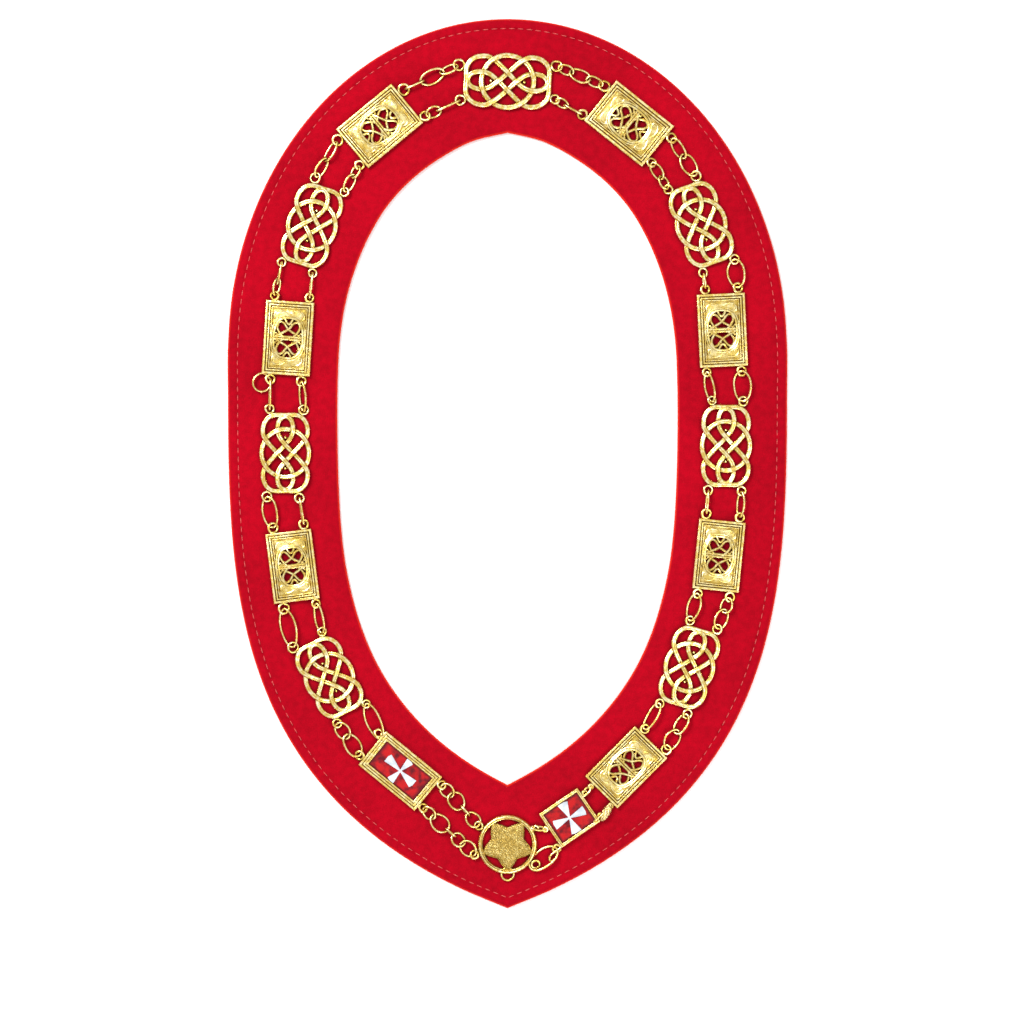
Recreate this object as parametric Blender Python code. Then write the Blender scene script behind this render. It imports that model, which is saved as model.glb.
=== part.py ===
"""Masonic chain collar, lying on its back.

A red velvet collar carries two rows of gilt chain. The rows run between seven knot
plaques, seven pierced scroll plaques, two enamelled cross plaques and a star medallion.

Metres, +Z up. +Y points to the back of the neck and -Y to the tip on the breast. The
origin is the middle of the collar's flat back.
"""

import math
from typing import NamedTuple

import bmesh
import bpy
import numpy as np
from mathutils import Matrix, Vector

# Velvet collar
COLLAR_WIDTH = 0.327
COLLAR_LENGTH = 0.520
BAND_WIDTH = 0.064
VELVET_THICKNESS = 0.003
HEM_RADIUS = 0.0009
CROWN_SHARE = 0.375
SIDE_SHARE = 0.0155
LOWER_OVERSHOOT = 2.4225
LOWER_FULLNESS = 3.314
OUTLINE_POINTS = 23

# Clearance between pieces that lie on or hook through each other
CLEARANCE = 0.0003

# Knot plaques, cast as three woven strands
KNOT_LENGTH = 0.0482
KNOT_WIDTH = 0.0316
STRAND_WIDTH = 0.0024
STRAND_THICKNESS = 0.0022
WEAVE_HEIGHT = 0.0004
STRAND_TOP_SHARE = 0.76
KNOT_RING_POINTS = 12

# Scroll plaques, a stepped frame round two pierced windows
SCROLL_LENGTH = 0.0425
SCROLL_WIDTH = 0.0282
SCROLL_WINDOW_LENGTH = 0.0222
SCROLL_WINDOW_WIDTH = 0.0160
WINDOW_BAR_WIDTH = 0.0018
WINDOW_POINTS = 7
WINDOW_SQUARENESS = 2.6
PLAQUE_THICKNESS = 0.0030

# Cross plaques, enamelled
CROSS_LENGTH = 0.0427
CROSS_WIDTH = 0.0257
CROSS_FRAME_WIDTH = 0.0050
SHORT_CROSS_LENGTH = 0.0275
SHORT_CROSS_WIDTH = 0.0240
SHORT_CROSS_FRAME_WIDTH = 0.0022
CROSS_FLOOR_THICKNESS = 0.0010
TRAY_EDGE_SHARE = 0.02
ENAMEL_THICKNESS = 0.0006
WHITE_WAIST_SHARE = 0.16
WHITE_LONG_REACH = 0.62
WHITE_LONG_FLARE = 0.42
WHITE_SHORT_REACH = 0.80
WHITE_SHORT_FLARE = 0.20

# Star medallion
MEDALLION_DIAMETER = 0.0350
MEDALLION_RING_WIDTH = 0.0034
MEDALLION_SEGMENTS = 20
MEDALLION_FLANK_SHARE = 0.45
MEDALLION_CROWN_SHARE = 0.30
STAR_THICKNESS = 0.0020
STAR_BACK_SHARE = 0.15
STAR_SEAT_SHARE = 0.35
STAR_NOTCH_SHARE = 0.62
STAR_SLOPE_SHARE = 0.12
HANGING_LOOP_DIAMETER = 0.0084
LOOP_BITE_SHARE = 0.45

# Chain
LUG_DIAMETER = 0.0066
LUG_WIRE = 0.0010
LUG_SEGMENTS = 6
LUG_SIDES = 3
LUG_LEAN = math.radians(20.0)
LUG_HEIGHT = 0.0020
LUG_BITE = 0.00075
CLOSE_LUG_DIAMETER = 0.0039
LINK_WIRE = 0.0010
LINK_LENGTH = 0.0093
LINK_WIDTH = 0.0090
LINK_SEGMENTS = 10
LINK_SIDES = 5
UPRIGHT_LEAN = math.radians(80.0)
LINK_FUSE_SHARE = 0.60
ROUNDEST_LINK = 0.60
CHAIN_ACROSS = 0.55
MEDALLION_DROP = 0.0015

METAL_REST = VELVET_THICKNESS + CLEARANCE
LUG_PLANE = METAL_REST + LUG_HEIGHT

# How finely the fits are worked out, and the largest scrap that a Boolean leaves
HOOK_STEP = 0.00003
RUN_STEPS = 10
FIT_ROUNDS = 8
CRUMB_FACES = 8


class BandSection(NamedTuple):
    """Share of the way from the crown to the tip, and band width there in BAND_WIDTH."""

    along: float
    width: float


BAND_SECTIONS = (
    BandSection(0.00, 1.04),
    BandSection(0.06, 1.07),
    BandSection(0.13, 1.09),
    BandSection(0.22, 1.06),
    BandSection(0.30, 1.05),
    BandSection(0.38, 1.03),
    BandSection(0.45, 1.00),
    BandSection(0.60, 1.00),
    BandSection(0.72, 1.03),
    BandSection(0.80, 1.05),
    BandSection(0.90, 1.045),
    BandSection(1.00, 1.03),
)


class LoopPoint(NamedTuple):
    """A point of the knot's figure-of-eight, in half lengths and half widths."""

    along: float
    across: float


KNOT_LOOP = (
    LoopPoint(1.00, 0.00),
    LoopPoint(0.985, 0.60),
    LoopPoint(0.78, 0.88),
    LoopPoint(0.52, 0.94),
    LoopPoint(0.34, 0.82),
    LoopPoint(0.03, 0.41),
    LoopPoint(-0.22, 0.00),
    LoopPoint(-0.44, -0.26),
    LoopPoint(-0.675, -0.33),
    LoopPoint(-0.88, -0.23),
    LoopPoint(-0.965, 0.00),
)


class FrameStep(NamedTuple):
    """A step of a moulded frame: inset in frame widths, then rise in plaque thicknesses."""

    inset: float
    rise: float


SCROLL_STEPS = (
    FrameStep(0.10, 0.12),
    FrameStep(0.16, 0.0),
    FrameStep(0.08, -0.12),
    FrameStep(0.10, 0.12),
    FrameStep(0.16, 0.0),
    FrameStep(0.08, -0.25),
)
CROSS_STEPS = (
    FrameStep(0.12, 0.12),
    FrameStep(0.22, 0.0),
    FrameStep(0.10, -0.14),
    FrameStep(0.10, 0.14),
    FrameStep(0.22, 0.0),
    FrameStep(0.12, 0.0),
)


class LinkForm(NamedTuple):
    """A link's length and width in LINK_LENGTH and LINK_WIDTH, and whether it stands up."""

    length: float
    width: float
    upright: bool


LINK_FORMS = {
    "ring": LinkForm(1.06, 1.08, False),
    "oval": LinkForm(1.06, 0.76, False),
    "small": LinkForm(0.76, 0.70, False),
    "edge": LinkForm(0.95, 0.62, True),
    "stub": LinkForm(0.60, 0.50, True),
}


class Stop(NamedTuple):
    """A plaque along one side, and the gap before it.

    gap is a share of the side's chain that shows. across runs from the outer edge of the
    band to its inner edge. length and width are in the kind's own size. near and far hold
    the lugs at the gap's two ends, outer row first, in half widths of their plaque. outer
    and inner name the links of the two rows, from the crown on.
    """

    name: str
    kind: str
    gap: float
    across: float
    turn: float
    length: float
    width: float
    near: tuple
    far: tuple
    outer: str
    inner: str


CROWN_KNOT = Stop("knot_top", "knot", 0.0, 0.556, -2.5, 1.07, 1.10, (), (), "", "")

RIGHT_SIDE = (
    Stop("scroll_right_1", "scroll", 0.157, 0.502, -0.3, 1.02, 1.08,
         (0.61, 0.55), (0.53, 0.85), "small ring small", "small edge"),
    Stop("knot_right_1", "knot", 0.144, 0.527, -4.0, 1.02, 1.02,
         (0.58, 0.63), (0.42, 0.73), "oval ring", "oval small"),
    Stop("scroll_right_2", "scroll", 0.097, 0.575, -2.7, 1.01, 1.00,
         (0.74, 0.54), (0.72, 0.63), "ring", "edge"),
    Stop("knot_right_2", "knot", 0.124, 0.560, 0.4, 1.00, 1.01,
         (0.72, 0.72), (0.64, 0.54), "ring", "oval"),
    Stop("scroll_right_3", "scroll", 0.110, 0.568, 0.9, 0.97, 0.97,
         (0.60, 0.66), (0.72, 0.72), "oval", "edge"),
    Stop("knot_right_3", "knot", 0.134, 0.578, 6.0, 0.98, 1.00,
         (0.64, 0.74), (0.60, 0.50), "small ring", "ring"),
    Stop("scroll_right_4", "scroll", 0.142, 0.538, 1.1, 0.98, 0.95,
         (0.45, 0.68), (0.70, 0.60), "oval ring", "oval"),
    Stop("cross_right", "short_cross", 0.050, 0.489, 2.6, 1.00, 1.00,
         (0.70, 0.50), (0.74, 0.58), "stub", "stub"),
    Stop("medallion", "medallion", 0.042, 0.55, 0.0, 1.00, 1.00,
         (0.88, 0.20), (-35.0, 30.0), "ring", "stub"),
)

LEFT_SIDE = (
    Stop("scroll_left_1", "scroll", 0.155, 0.485, -0.3, 0.99, 1.05,
         (0.50, 0.72), (0.50, 0.84), "oval ring edge", "edge ring"),
    Stop("knot_left_1", "knot", 0.117, 0.516, 5.7, 1.00, 1.00,
         (0.63, 0.68), (0.42, 0.80), "oval small", "small oval"),
    Stop("scroll_left_2", "scroll", 0.102, 0.539, 0.3, 1.02, 1.00,
         (0.68, 0.57), (0.65, 0.78), "edge small", "edge"),
    Stop("knot_left_2", "knot", 0.105, 0.524, -1.0, 0.98, 1.00,
         (0.62, 0.66), (0.60, 0.70), "edge", "oval"),
    Stop("scroll_left_3", "scroll", 0.105, 0.523, -1.2, 0.97, 0.96,
         (0.70, 0.54), (0.63, 0.70), "ring", "edge"),
    Stop("knot_left_3", "knot", 0.118, 0.571, 2.0, 0.97, 1.00,
         (0.60, 0.80), (0.72, 0.54), "ring", "oval"),
    Stop("cross_left", "long_cross", 0.120, 0.583, 2.8, 1.00, 1.00,
         (0.52, 0.80), (0.62, 0.70), "ring ring", "ring"),
    Stop("medallion", "medallion", 0.179, 0.55, 0.0, 1.00, 1.00,
         (0.64, 0.70), (197.0, 147.0), "oval ring edge small ring", "ring ring edge ring"),
)


class CollarShape:
    """The collar's outline from the crown to the tip, and the line that the chain takes."""

    SAMPLES = 1500

    def __init__(self):
        rise = COLLAR_LENGTH * CROWN_SHARE
        shoulder = COLLAR_LENGTH / 2 - rise
        hip = shoulder - COLLAR_LENGTH * SIDE_SHARE
        depth = COLLAR_LENGTH / 2 + hip
        angles = np.linspace(0.0, math.pi / 2, self.SAMPLES, endpoint=False)
        shares = np.linspace(0.0, 1.0, self.SAMPLES)
        crown = np.stack(
            [COLLAR_WIDTH / 2 * np.sin(angles), shoulder + rise * np.cos(angles)], axis=1
        )
        lower = np.stack([COLLAR_WIDTH / 2 * lower_width(shares), hip - depth * shares], axis=1)
        self.outer = np.concatenate([crown, lower])
        self.travelled = distances(self.outer)
        tangent = np.gradient(self.outer, axis=0)
        tangent /= np.linalg.norm(tangent, axis=1)[:, None]
        tangent[0] = (1.0, 0.0)
        self.inward = np.stack([tangent[:, 1], -tangent[:, 0]], axis=1)
        share = self.travelled / self.travelled[-1]
        sections = np.array(BAND_SECTIONS)
        self.width = BAND_WIDTH * np.interp(share, sections[:, 0], sections[:, 1])
        self.inner = self.kept_side(self.line(1.0))
        self.chain = self.kept_side(self.line(CHAIN_ACROSS))
        self.chain_travelled = distances(self.chain)

    def line(self, across):
        """The line that lies this share of the band in from the outer edge."""
        return self.outer + self.inward * (self.width * across)[:, None]

    @staticmethod
    def kept_side(line):
        """The part of a line before it crosses the middle of the collar."""
        crossed = np.nonzero(line[1:, 0] < 0.0)[0]
        kept = line[: crossed[0] + 1] if len(crossed) else line
        kept = kept.copy()
        kept[0, 0] = 0.0
        kept[-1, 0] = 0.0
        return kept

    @staticmethod
    def thinned(line, count):
        """This many points along a line, evenly spaced, both ends among them."""
        travelled = distances(line)
        wanted = np.linspace(0.0, travelled[-1], count)
        return np.stack([np.interp(wanted, travelled, line[:, axis]) for axis in (0, 1)], axis=1)

    def chain_place(self, travelled, across, side):
        """Centre and clockwise direction of a plaque at this distance down one side."""
        index = min(int(np.searchsorted(self.chain_travelled, travelled)), len(self.chain) - 2)
        tangent = self.chain[index + 1] - self.chain[max(index - 1, 0)]
        tangent = tangent / np.linalg.norm(tangent)
        shift = (across - CHAIN_ACROSS) * self.width[index]
        x, y = self.chain[index] + self.inward[index] * shift
        angle = math.atan2(side * tangent[1], tangent[0])
        return Vector((side * x, y)), angle


def distances(line):
    """Distance travelled along a line, at each of its points."""
    steps = np.linalg.norm(np.diff(line, axis=0), axis=1)
    return np.concatenate([[0.0], np.cumsum(steps)])


def lower_width(share):
    """Half width of the collar below its sides, from 1 at the hip to 0 at the tip."""
    over = LOWER_OVERSHOOT
    end = (1.0 - (over / (1.0 + over)) ** LOWER_FULLNESS) ** (1.0 / LOWER_FULLNESS)
    reach = (1.0 - (share * end) ** LOWER_FULLNESS) ** (1.0 / LOWER_FULLNESS)
    return (1.0 + over) * reach - over


# Blender helpers


def clear_scene():
    """Removes every object of the scene."""
    for obj in list(bpy.data.objects):
        bpy.data.objects.remove(obj, do_unlink=True)


def new_collection(name):
    """A collection linked to the scene."""
    collection = bpy.data.collections.new(name)
    bpy.context.scene.collection.children.link(collection)
    return collection


def finish(name, color, roughness, metallic):
    """A Principled material."""
    material = bpy.data.materials.new(name)
    material.use_nodes = True
    shader = material.node_tree.nodes["Principled BSDF"]
    shader.inputs["Base Color"].default_value = (*color, 1.0)
    shader.inputs["Roughness"].default_value = roughness
    shader.inputs["Metallic"].default_value = metallic
    material.diffuse_color = (*color, 1.0)
    return material


def mesh_from(bm, name):
    """A mesh with the shape of a bmesh, its normals pointing out."""
    bmesh.ops.recalc_face_normals(bm, faces=bm.faces)
    mesh = bpy.data.meshes.new(name)
    bm.to_mesh(mesh)
    bm.free()
    return mesh


def joined(name, meshes):
    """One mesh that holds the shapes of several."""
    bm = bmesh.new()
    for mesh in meshes:
        bm.from_mesh(mesh)
    combined = bpy.data.meshes.new(name)
    bm.to_mesh(combined)
    bm.free()
    return combined


def combined_mesh(name, base, other, operation="UNION", with_itself=False):
    """The mesh that a Boolean makes of two meshes."""
    first = bpy.data.objects.new(name, base)
    second = bpy.data.objects.new(name + "_tool", other)
    for obj in (first, second):
        bpy.context.scene.collection.objects.link(obj)
    boolean = first.modifiers.new("combine", "BOOLEAN")
    boolean.operation = operation
    boolean.solver = "EXACT"
    boolean.use_self = with_itself
    boolean.object = second
    bpy.context.view_layer.update()
    graph = bpy.context.evaluated_depsgraph_get()
    result = bpy.data.meshes.new_from_object(first.evaluated_get(graph))
    result.name = name
    for obj in (first, second):
        bpy.data.objects.remove(obj, do_unlink=True)
    remove_crumbs(result)
    return result


def remove_crumbs(mesh):
    """Removes the loose scraps of a few faces that a Boolean can leave in a joint."""
    bm = bmesh.new()
    bm.from_mesh(mesh)
    waiting = set(bm.faces)
    while waiting:
        body = [waiting.pop()]
        for face in body:
            touching = {other for edge in face.edges for other in edge.link_faces} & waiting
            waiting -= touching
            body.extend(touching)
        if len(body) <= CRUMB_FACES:
            bmesh.ops.delete(bm, geom=body, context="FACES")
    bm.to_mesh(mesh)
    bm.free()


def turned_round(points, angle):
    """Points of the plane turned about the origin."""
    cos, sin = math.cos(angle), math.sin(angle)
    return [(x * cos - y * sin, x * sin + y * cos) for x, y in points]


def prism(outline, low, high):
    """A flat plate with this outline between two heights."""
    bm = bmesh.new()
    floor = bm.faces.new([bm.verts.new((x, y, low)) for x, y in outline])
    grown = bmesh.ops.extrude_face_region(bm, geom=[floor])
    raised = [item for item in grown["geom"] if isinstance(item, bmesh.types.BMVert)]
    bmesh.ops.translate(bm, verts=raised, vec=(0.0, 0.0, high - low))
    return mesh_from(bm, "prism")


def ring_mesh(half_length, half_width, wire, segments, sides):
    """A closed wire ring drawn out to an oval, lying flat round the origin."""
    bpy.ops.mesh.primitive_torus_add(
        major_segments=segments, minor_segments=sides, major_radius=1.0, minor_radius=wire / 2
    )
    torus = bpy.context.object
    mesh = torus.data
    for vertex in mesh.vertices:
        x, y, z = vertex.co
        reach = math.hypot(x, y)
        cos, sin = x / reach, y / reach
        normal = Vector((cos / half_length, sin / half_width)).normalized()
        out = reach - 1.0
        vertex.co = (half_length * cos + normal.x * out, half_width * sin + normal.y * out, z)
    bpy.data.objects.remove(torus, do_unlink=True)
    return mesh


def leaning_ring(mesh, centre, heading, lean):
    """Leans a flat ring about its length, turns it to a heading and sets it in place."""
    mesh.transform(
        Matrix.Translation(centre)
        @ Matrix.Rotation(heading, 4, "Z")
        @ Matrix.Rotation(lean, 4, "X")
    )
    return mesh


def swept_band(points, width, thickness):
    """A closed strand of rectangular section along a ring of points."""
    section = bpy.data.curves.new("section", "CURVE")
    section.dimensions = "2D"
    corners = section.splines.new("POLY")
    corners.points.add(3)
    corners.use_cyclic_u = True
    low, high = width / 2, STRAND_TOP_SHARE * width / 2
    half = thickness / 2
    rim = ((-low, -half), (low, -half), (high, half), (-high, half))
    for point, (x, y) in zip(corners.points, rim):
        point.co = (x, y, 0.0, 1.0)
    section_object = bpy.data.objects.new("section", section)
    bpy.context.scene.collection.objects.link(section_object)
    curve = bpy.data.curves.new("strand", "CURVE")
    curve.dimensions = "3D"
    curve.twist_mode = "Z_UP"
    curve.bevel_mode = "OBJECT"
    curve.bevel_object = section_object
    spline = curve.splines.new("POLY")
    spline.points.add(len(points) - 1)
    spline.use_cyclic_u = True
    for point, place in zip(spline.points, points):
        point.co = (*place, 1.0)
    strand = bpy.data.objects.new("strand", curve)
    bpy.context.scene.collection.objects.link(strand)
    bpy.context.view_layer.update()
    graph = bpy.context.evaluated_depsgraph_get()
    mesh = bpy.data.meshes.new_from_object(strand.evaluated_get(graph))
    bpy.data.objects.remove(strand, do_unlink=True)
    bpy.data.objects.remove(section_object, do_unlink=True)
    bm = bmesh.new()
    bm.from_mesh(mesh)
    bmesh.ops.remove_doubles(bm, verts=bm.verts, dist=1e-7)
    return mesh_from(bm, "strand")


# Knot plaque


def knot_strands(length, width):
    """The knot's three closed strands as flat lines: two figures of eight and a ring."""
    half_length = (length - STRAND_WIDTH) / 2
    half_width = (width - STRAND_WIDTH) / 2
    upper = [(p.along * half_length, p.across * half_width) for p in KNOT_LOOP]
    lower = [(x, -y) for x, y in reversed(upper[1:-1])]
    eight = np.array(upper + lower)
    angles = (np.arange(KNOT_RING_POINTS) + 0.5) * (2 * math.pi / KNOT_RING_POINTS)
    ring = np.stack([half_width * np.cos(angles), half_width * np.sin(angles)], axis=1)
    return [eight, -eight, ring]


def filled_in(line, steps):
    """The points of a closed line, with more of them along each of its straights."""
    ahead = np.roll(line, -1, axis=0)
    shares = np.arange(steps) / steps
    points = line[:, None] + (ahead - line)[:, None] * shares[None, :, None]
    return points.reshape(-1, line.shape[1])


def crossings(strands):
    """Each place where two strands, or two runs of one strand, cross.

    A crossing is a pair of (strand, position along it), with positions counted in points.
    """
    found = []
    runs = [
        (strand, index, line[index], line[(index + 1) % len(line)])
        for strand, line in enumerate(strands)
        for index in range(len(line))
    ]
    for number, (strand, index, start, end) in enumerate(runs):
        for other, other_index, other_start, other_end in runs[number + 1 :]:
            first = end - start
            second = other_end - other_start
            across = first[0] * second[1] - first[1] * second[0]
            if abs(across) < 1e-14:
                continue
            offset = other_start - start
            here = (offset[0] * second[1] - offset[1] * second[0]) / across
            there = (offset[0] * first[1] - offset[1] * first[0]) / across
            neighbours = strand == other and (other_index - index) % len(strands[strand]) in (
                1,
                len(strands[strand]) - 1,
            )
            if 0.0 <= here < 1.0 and 0.0 <= there < 1.0 and not neighbours:
                found.append(((strand, index + here), (other, other_index + there)))
    return found


def woven_heights(strands):
    """Height of each strand at each of its points, over and under by turns."""
    pairs = crossings(strands)
    stops = [[] for _ in strands]
    for number, pair in enumerate(pairs):
        for half, (strand, place) in enumerate(pair):
            stops[strand].append((place, number, half))
    for line in stops:
        line.sort()
    level = {}
    pending = [(0, 0, 1.0)]
    done = set()
    while pending:
        strand, first, sign = pending.pop()
        if strand in done:
            continue
        done.add(strand)
        line = stops[strand]
        for step in range(len(line)):
            _, number, half = line[(first + step) % len(line)]
            height = sign * (-1.0) ** step
            level.setdefault((number, half), height)
            level.setdefault((number, 1 - half), -height)
            other = pairs[number][1 - half][0]
            if other not in done:
                entry = next(i for i, stop in enumerate(stops[other]) if stop[1:] == (number, 1 - half))
                pending.append((other, entry, -height))
    heights = []
    for strand, line in enumerate(stops):
        count = len(strands[strand])
        places = np.array([stop[0] for stop in line])
        levels = np.array([level[stop[1:]] for stop in line])
        around = np.concatenate([[places[-1] - count], places, [places[0] + count]])
        values = np.concatenate([[levels[-1]], levels, [levels[0]]])
        heights.append(WEAVE_HEIGHT * np.interp(np.arange(count), around, values))
    return heights


def knot_bands(length, width):
    """The knot plaque's three strands, their backs at height 0."""
    strands = knot_strands(length, width)
    middle = STRAND_THICKNESS / 2 + WEAVE_HEIGHT
    bands = []
    for line, heights in zip(strands, woven_heights(strands)):
        points = [(x, y, middle + z) for (x, y), z in zip(line, heights)]
        bands.append(swept_band(points, STRAND_WIDTH, STRAND_THICKNESS))
    return bands


def knot_lug_x(length, width, y, lug_reach):
    """Where a lug at this place across sits against the knot's end, from the middle."""
    dense = np.concatenate([filled_in(line, RUN_STEPS) for line in knot_strands(length, width)])
    x = length / 2 + 2 * lug_reach
    reach = lug_reach + STRAND_WIDTH / 2
    while np.linalg.norm(dense - (x, y), axis=1).min() > reach:
        x -= HOOK_STEP
    return x


# Plates


def plate(length, width, steps, frame_width):
    """A rectangular plate with a moulded frame, its back at height 0."""
    thickness = PLAQUE_THICKNESS * (1.0 - max(step.rise for step in steps))
    bm = bmesh.new()
    bmesh.ops.create_cube(
        bm,
        size=1.0,
        matrix=Matrix.Translation((0.0, 0.0, thickness / 2))
        @ Matrix.Diagonal((length, width, thickness, 1.0)),
    )
    bm.faces.ensure_lookup_table()
    top = max(bm.faces, key=lambda face: face.calc_center_median().z)
    for step in steps:
        bmesh.ops.inset_region(
            bm,
            faces=[top],
            thickness=step.inset * frame_width,
            depth=0.0,
            use_even_offset=True,
        )
        bmesh.ops.translate(bm, verts=top.verts, vec=(0.0, 0.0, step.rise * PLAQUE_THICKNESS))
    return bm, top


def scroll_mesh(length, width):
    """The scroll plaque without lugs: a stepped frame round two D-shaped windows."""
    frame_width = (SCROLL_WIDTH - SCROLL_WINDOW_WIDTH) / 2
    bm, _ = plate(length, width, SCROLL_STEPS, frame_width)
    body = mesh_from(bm, "scroll")
    window_length = length - (SCROLL_LENGTH - SCROLL_WINDOW_LENGTH)
    window_width = width - (SCROLL_WIDTH - SCROLL_WINDOW_WIDTH)
    bow = 2.0 / WINDOW_SQUARENESS
    half = []
    for index in range(WINDOW_POINTS):
        angle = math.pi * (index / (WINDOW_POINTS - 1) - 0.5)
        cos, sin = max(math.cos(angle), 0.0), math.sin(angle)
        x = WINDOW_BAR_WIDTH / 2 + (window_length - WINDOW_BAR_WIDTH) / 2 * cos**bow
        y = window_width / 2 * math.copysign(abs(sin) ** bow, sin)
        half.append((x, y))
    through = (-PLAQUE_THICKNESS, 2 * PLAQUE_THICKNESS)
    cutters = [prism(half, *through), prism(turned_round(half, math.pi), *through)]
    return combined_mesh("scroll", body, joined("windows", cutters), "DIFFERENCE")


def cross_plaque_mesh(length, width, frame_width):
    """The cross plaque without lugs: a moulded frame round a shallow tray."""
    bm, top = plate(length, width, CROSS_STEPS, frame_width)
    edge = frame_width * TRAY_EDGE_SHARE
    bmesh.ops.inset_region(bm, faces=[top], thickness=edge, depth=0.0)
    sunk = PLAQUE_THICKNESS - CROSS_FLOOR_THICKNESS
    bmesh.ops.translate(bm, verts=top.verts, vec=(0.0, 0.0, -sunk))
    return mesh_from(bm, "cross_plaque")


def tray_half(size, frame_width):
    """Half of the enamel's length or width, which fits in the tray with a clearance."""
    frame_share = sum(step.inset for step in CROSS_STEPS) + TRAY_EDGE_SHARE
    return size / 2 - frame_share * frame_width - CLEARANCE


def enamel_field(half_length, half_width):
    """The enamel that fills the tray of a cross plaque."""
    corners = [
        (-half_length, -half_width),
        (half_length, -half_width),
        (half_length, half_width),
        (-half_length, half_width),
    ]
    low = CROSS_FLOOR_THICKNESS + CLEARANCE
    return prism(corners, low, low + ENAMEL_THICKNESS)


def white_cross(half_length, half_width):
    """The white cross: four arms that flare from a narrow middle."""
    waist = WHITE_WAIST_SHARE * half_width
    long_reach = WHITE_LONG_REACH * half_length
    long_flare = WHITE_LONG_FLARE * half_width
    short_reach = WHITE_SHORT_REACH * half_width
    short_flare = WHITE_SHORT_FLARE * half_length
    half = [
        (waist, -waist),
        (long_reach, -long_flare),
        (long_reach, long_flare),
        (waist, waist),
        (short_flare, short_reach),
        (-short_flare, short_reach),
    ]
    low = CROSS_FLOOR_THICKNESS + 2 * CLEARANCE + ENAMEL_THICKNESS
    return prism(half + [(-x, -y) for x, y in half], low, PLAQUE_THICKNESS)


# Medallion


def medallion_mesh():
    """The star medallion without lugs: a domed ring, a star and a hanging loop."""
    radius = MEDALLION_DIAMETER / 2
    inner = radius - MEDALLION_RING_WIDTH
    flank = MEDALLION_FLANK_SHARE * PLAQUE_THICKNESS
    crown = MEDALLION_CROWN_SHARE * MEDALLION_RING_WIDTH
    profile = (
        (radius, 0.0),
        (radius, flank),
        (radius - crown, PLAQUE_THICKNESS),
        (inner + crown, PLAQUE_THICKNESS),
        (inner, flank),
        (inner, 0.0),
    )
    bm = bmesh.new()
    edge = [bm.verts.new((x, 0.0, z)) for x, z in profile]
    lines = [bm.edges.new((a, b)) for a, b in zip(edge, edge[1:] + edge[:1])]
    bmesh.ops.spin(
        bm,
        geom=edge + lines,
        cent=(0.0, 0.0, 0.0),
        axis=(0.0, 0.0, 1.0),
        angle=2 * math.pi,
        steps=MEDALLION_SEGMENTS,
        use_merge=True,
    )
    ring = mesh_from(bm, "medallion_ring")
    reach = inner + STAR_SEAT_SHARE * MEDALLION_RING_WIDTH
    outline = []
    for index in range(10):
        size = reach if index % 2 == 0 else reach * STAR_NOTCH_SHARE
        angle = -math.pi / 2 + index * math.pi / 5
        outline.append((size * math.cos(angle), size * math.sin(angle)))
    back = STAR_BACK_SHARE * PLAQUE_THICKNESS
    bm = bmesh.new()
    bm.from_mesh(prism(outline, back, back + STAR_THICKNESS))
    bm.faces.ensure_lookup_table()
    top = max(bm.faces, key=lambda face: face.calc_center_median().z)
    bmesh.ops.inset_region(bm, faces=[top], thickness=STAR_SLOPE_SHARE * reach, depth=0.0)
    slope = STAR_SLOPE_SHARE * PLAQUE_THICKNESS
    bmesh.ops.translate(bm, verts=top.verts, vec=(0.0, 0.0, slope))
    star = mesh_from(bm, "star")
    loop_radius = (HANGING_LOOP_DIAMETER - LUG_WIRE) / 2
    loop = ring_mesh(loop_radius, loop_radius, LUG_WIRE, LINK_SEGMENTS, LINK_SIDES)
    drop = radius + loop_radius - LOOP_BITE_SHARE * HANGING_LOOP_DIAMETER
    loop.transform(Matrix.Translation((0.0, -drop, PLAQUE_THICKNESS / 2)))
    return combined_mesh("medallion", ring, star), loop


# Chain


class Link(NamedTuple):
    """A link's centreline: half length, half width, lean about its length and height."""

    half_length: float
    half_width: float
    lean: float
    height: float


def link_of(form, scale, sign):
    """A link of this form. It leans until its lower side rests on the velvet."""
    half_length = (form.length * LINK_LENGTH * scale - LINK_WIRE) / 2
    half_width = (form.width * LINK_WIDTH - LINK_WIRE) / 2
    room = LUG_PLANE - METAL_REST - LINK_WIRE / 2
    lean = UPRIGHT_LEAN if form.upright else math.asin(min(1.0, room / half_width))
    height = max(LUG_PLANE, METAL_REST + LINK_WIRE / 2 + half_width * math.sin(lean))
    return Link(max(half_length, ROUNDEST_LINK * half_width), half_width, sign * lean, height)


def centreline(link, start, segments=LINK_SEGMENTS):
    """Points of a link's centreline in a row along X, with its end at start."""
    angles = np.linspace(0.0, 2 * math.pi, segments, endpoint=False)
    corners = filled_in(np.stack([np.cos(angles), np.sin(angles)], axis=1), RUN_STEPS)
    side = link.half_width * corners[:, 1]
    return np.stack(
        [
            start + link.half_length * (1.0 - corners[:, 0]),
            side * math.cos(link.lean),
            link.height + side * math.sin(link.lean),
        ],
        axis=1,
    )


def least_distance(first, second):
    """Smallest distance between two sets of points."""
    return math.sqrt(((first[:, None] - second[None]) ** 2).sum(axis=2).min())


def lug_depth(link, lug_radius, lug_lean):
    """How far past a lug's bar the end of a link lies to hang clear of the lug."""
    ring = Link(lug_radius, lug_radius, lug_lean, LUG_PLANE)
    lug = centreline(ring, -lug_radius, LUG_SEGMENTS)
    clear = (LINK_WIRE + LUG_WIRE) / 2 + CLEARANCE
    depth = clear
    while depth < 2 * lug_radius - clear:
        if least_distance(lug, centreline(link, lug_radius - depth)) >= clear:
            break
        depth += HOOK_STEP
    return depth


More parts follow.
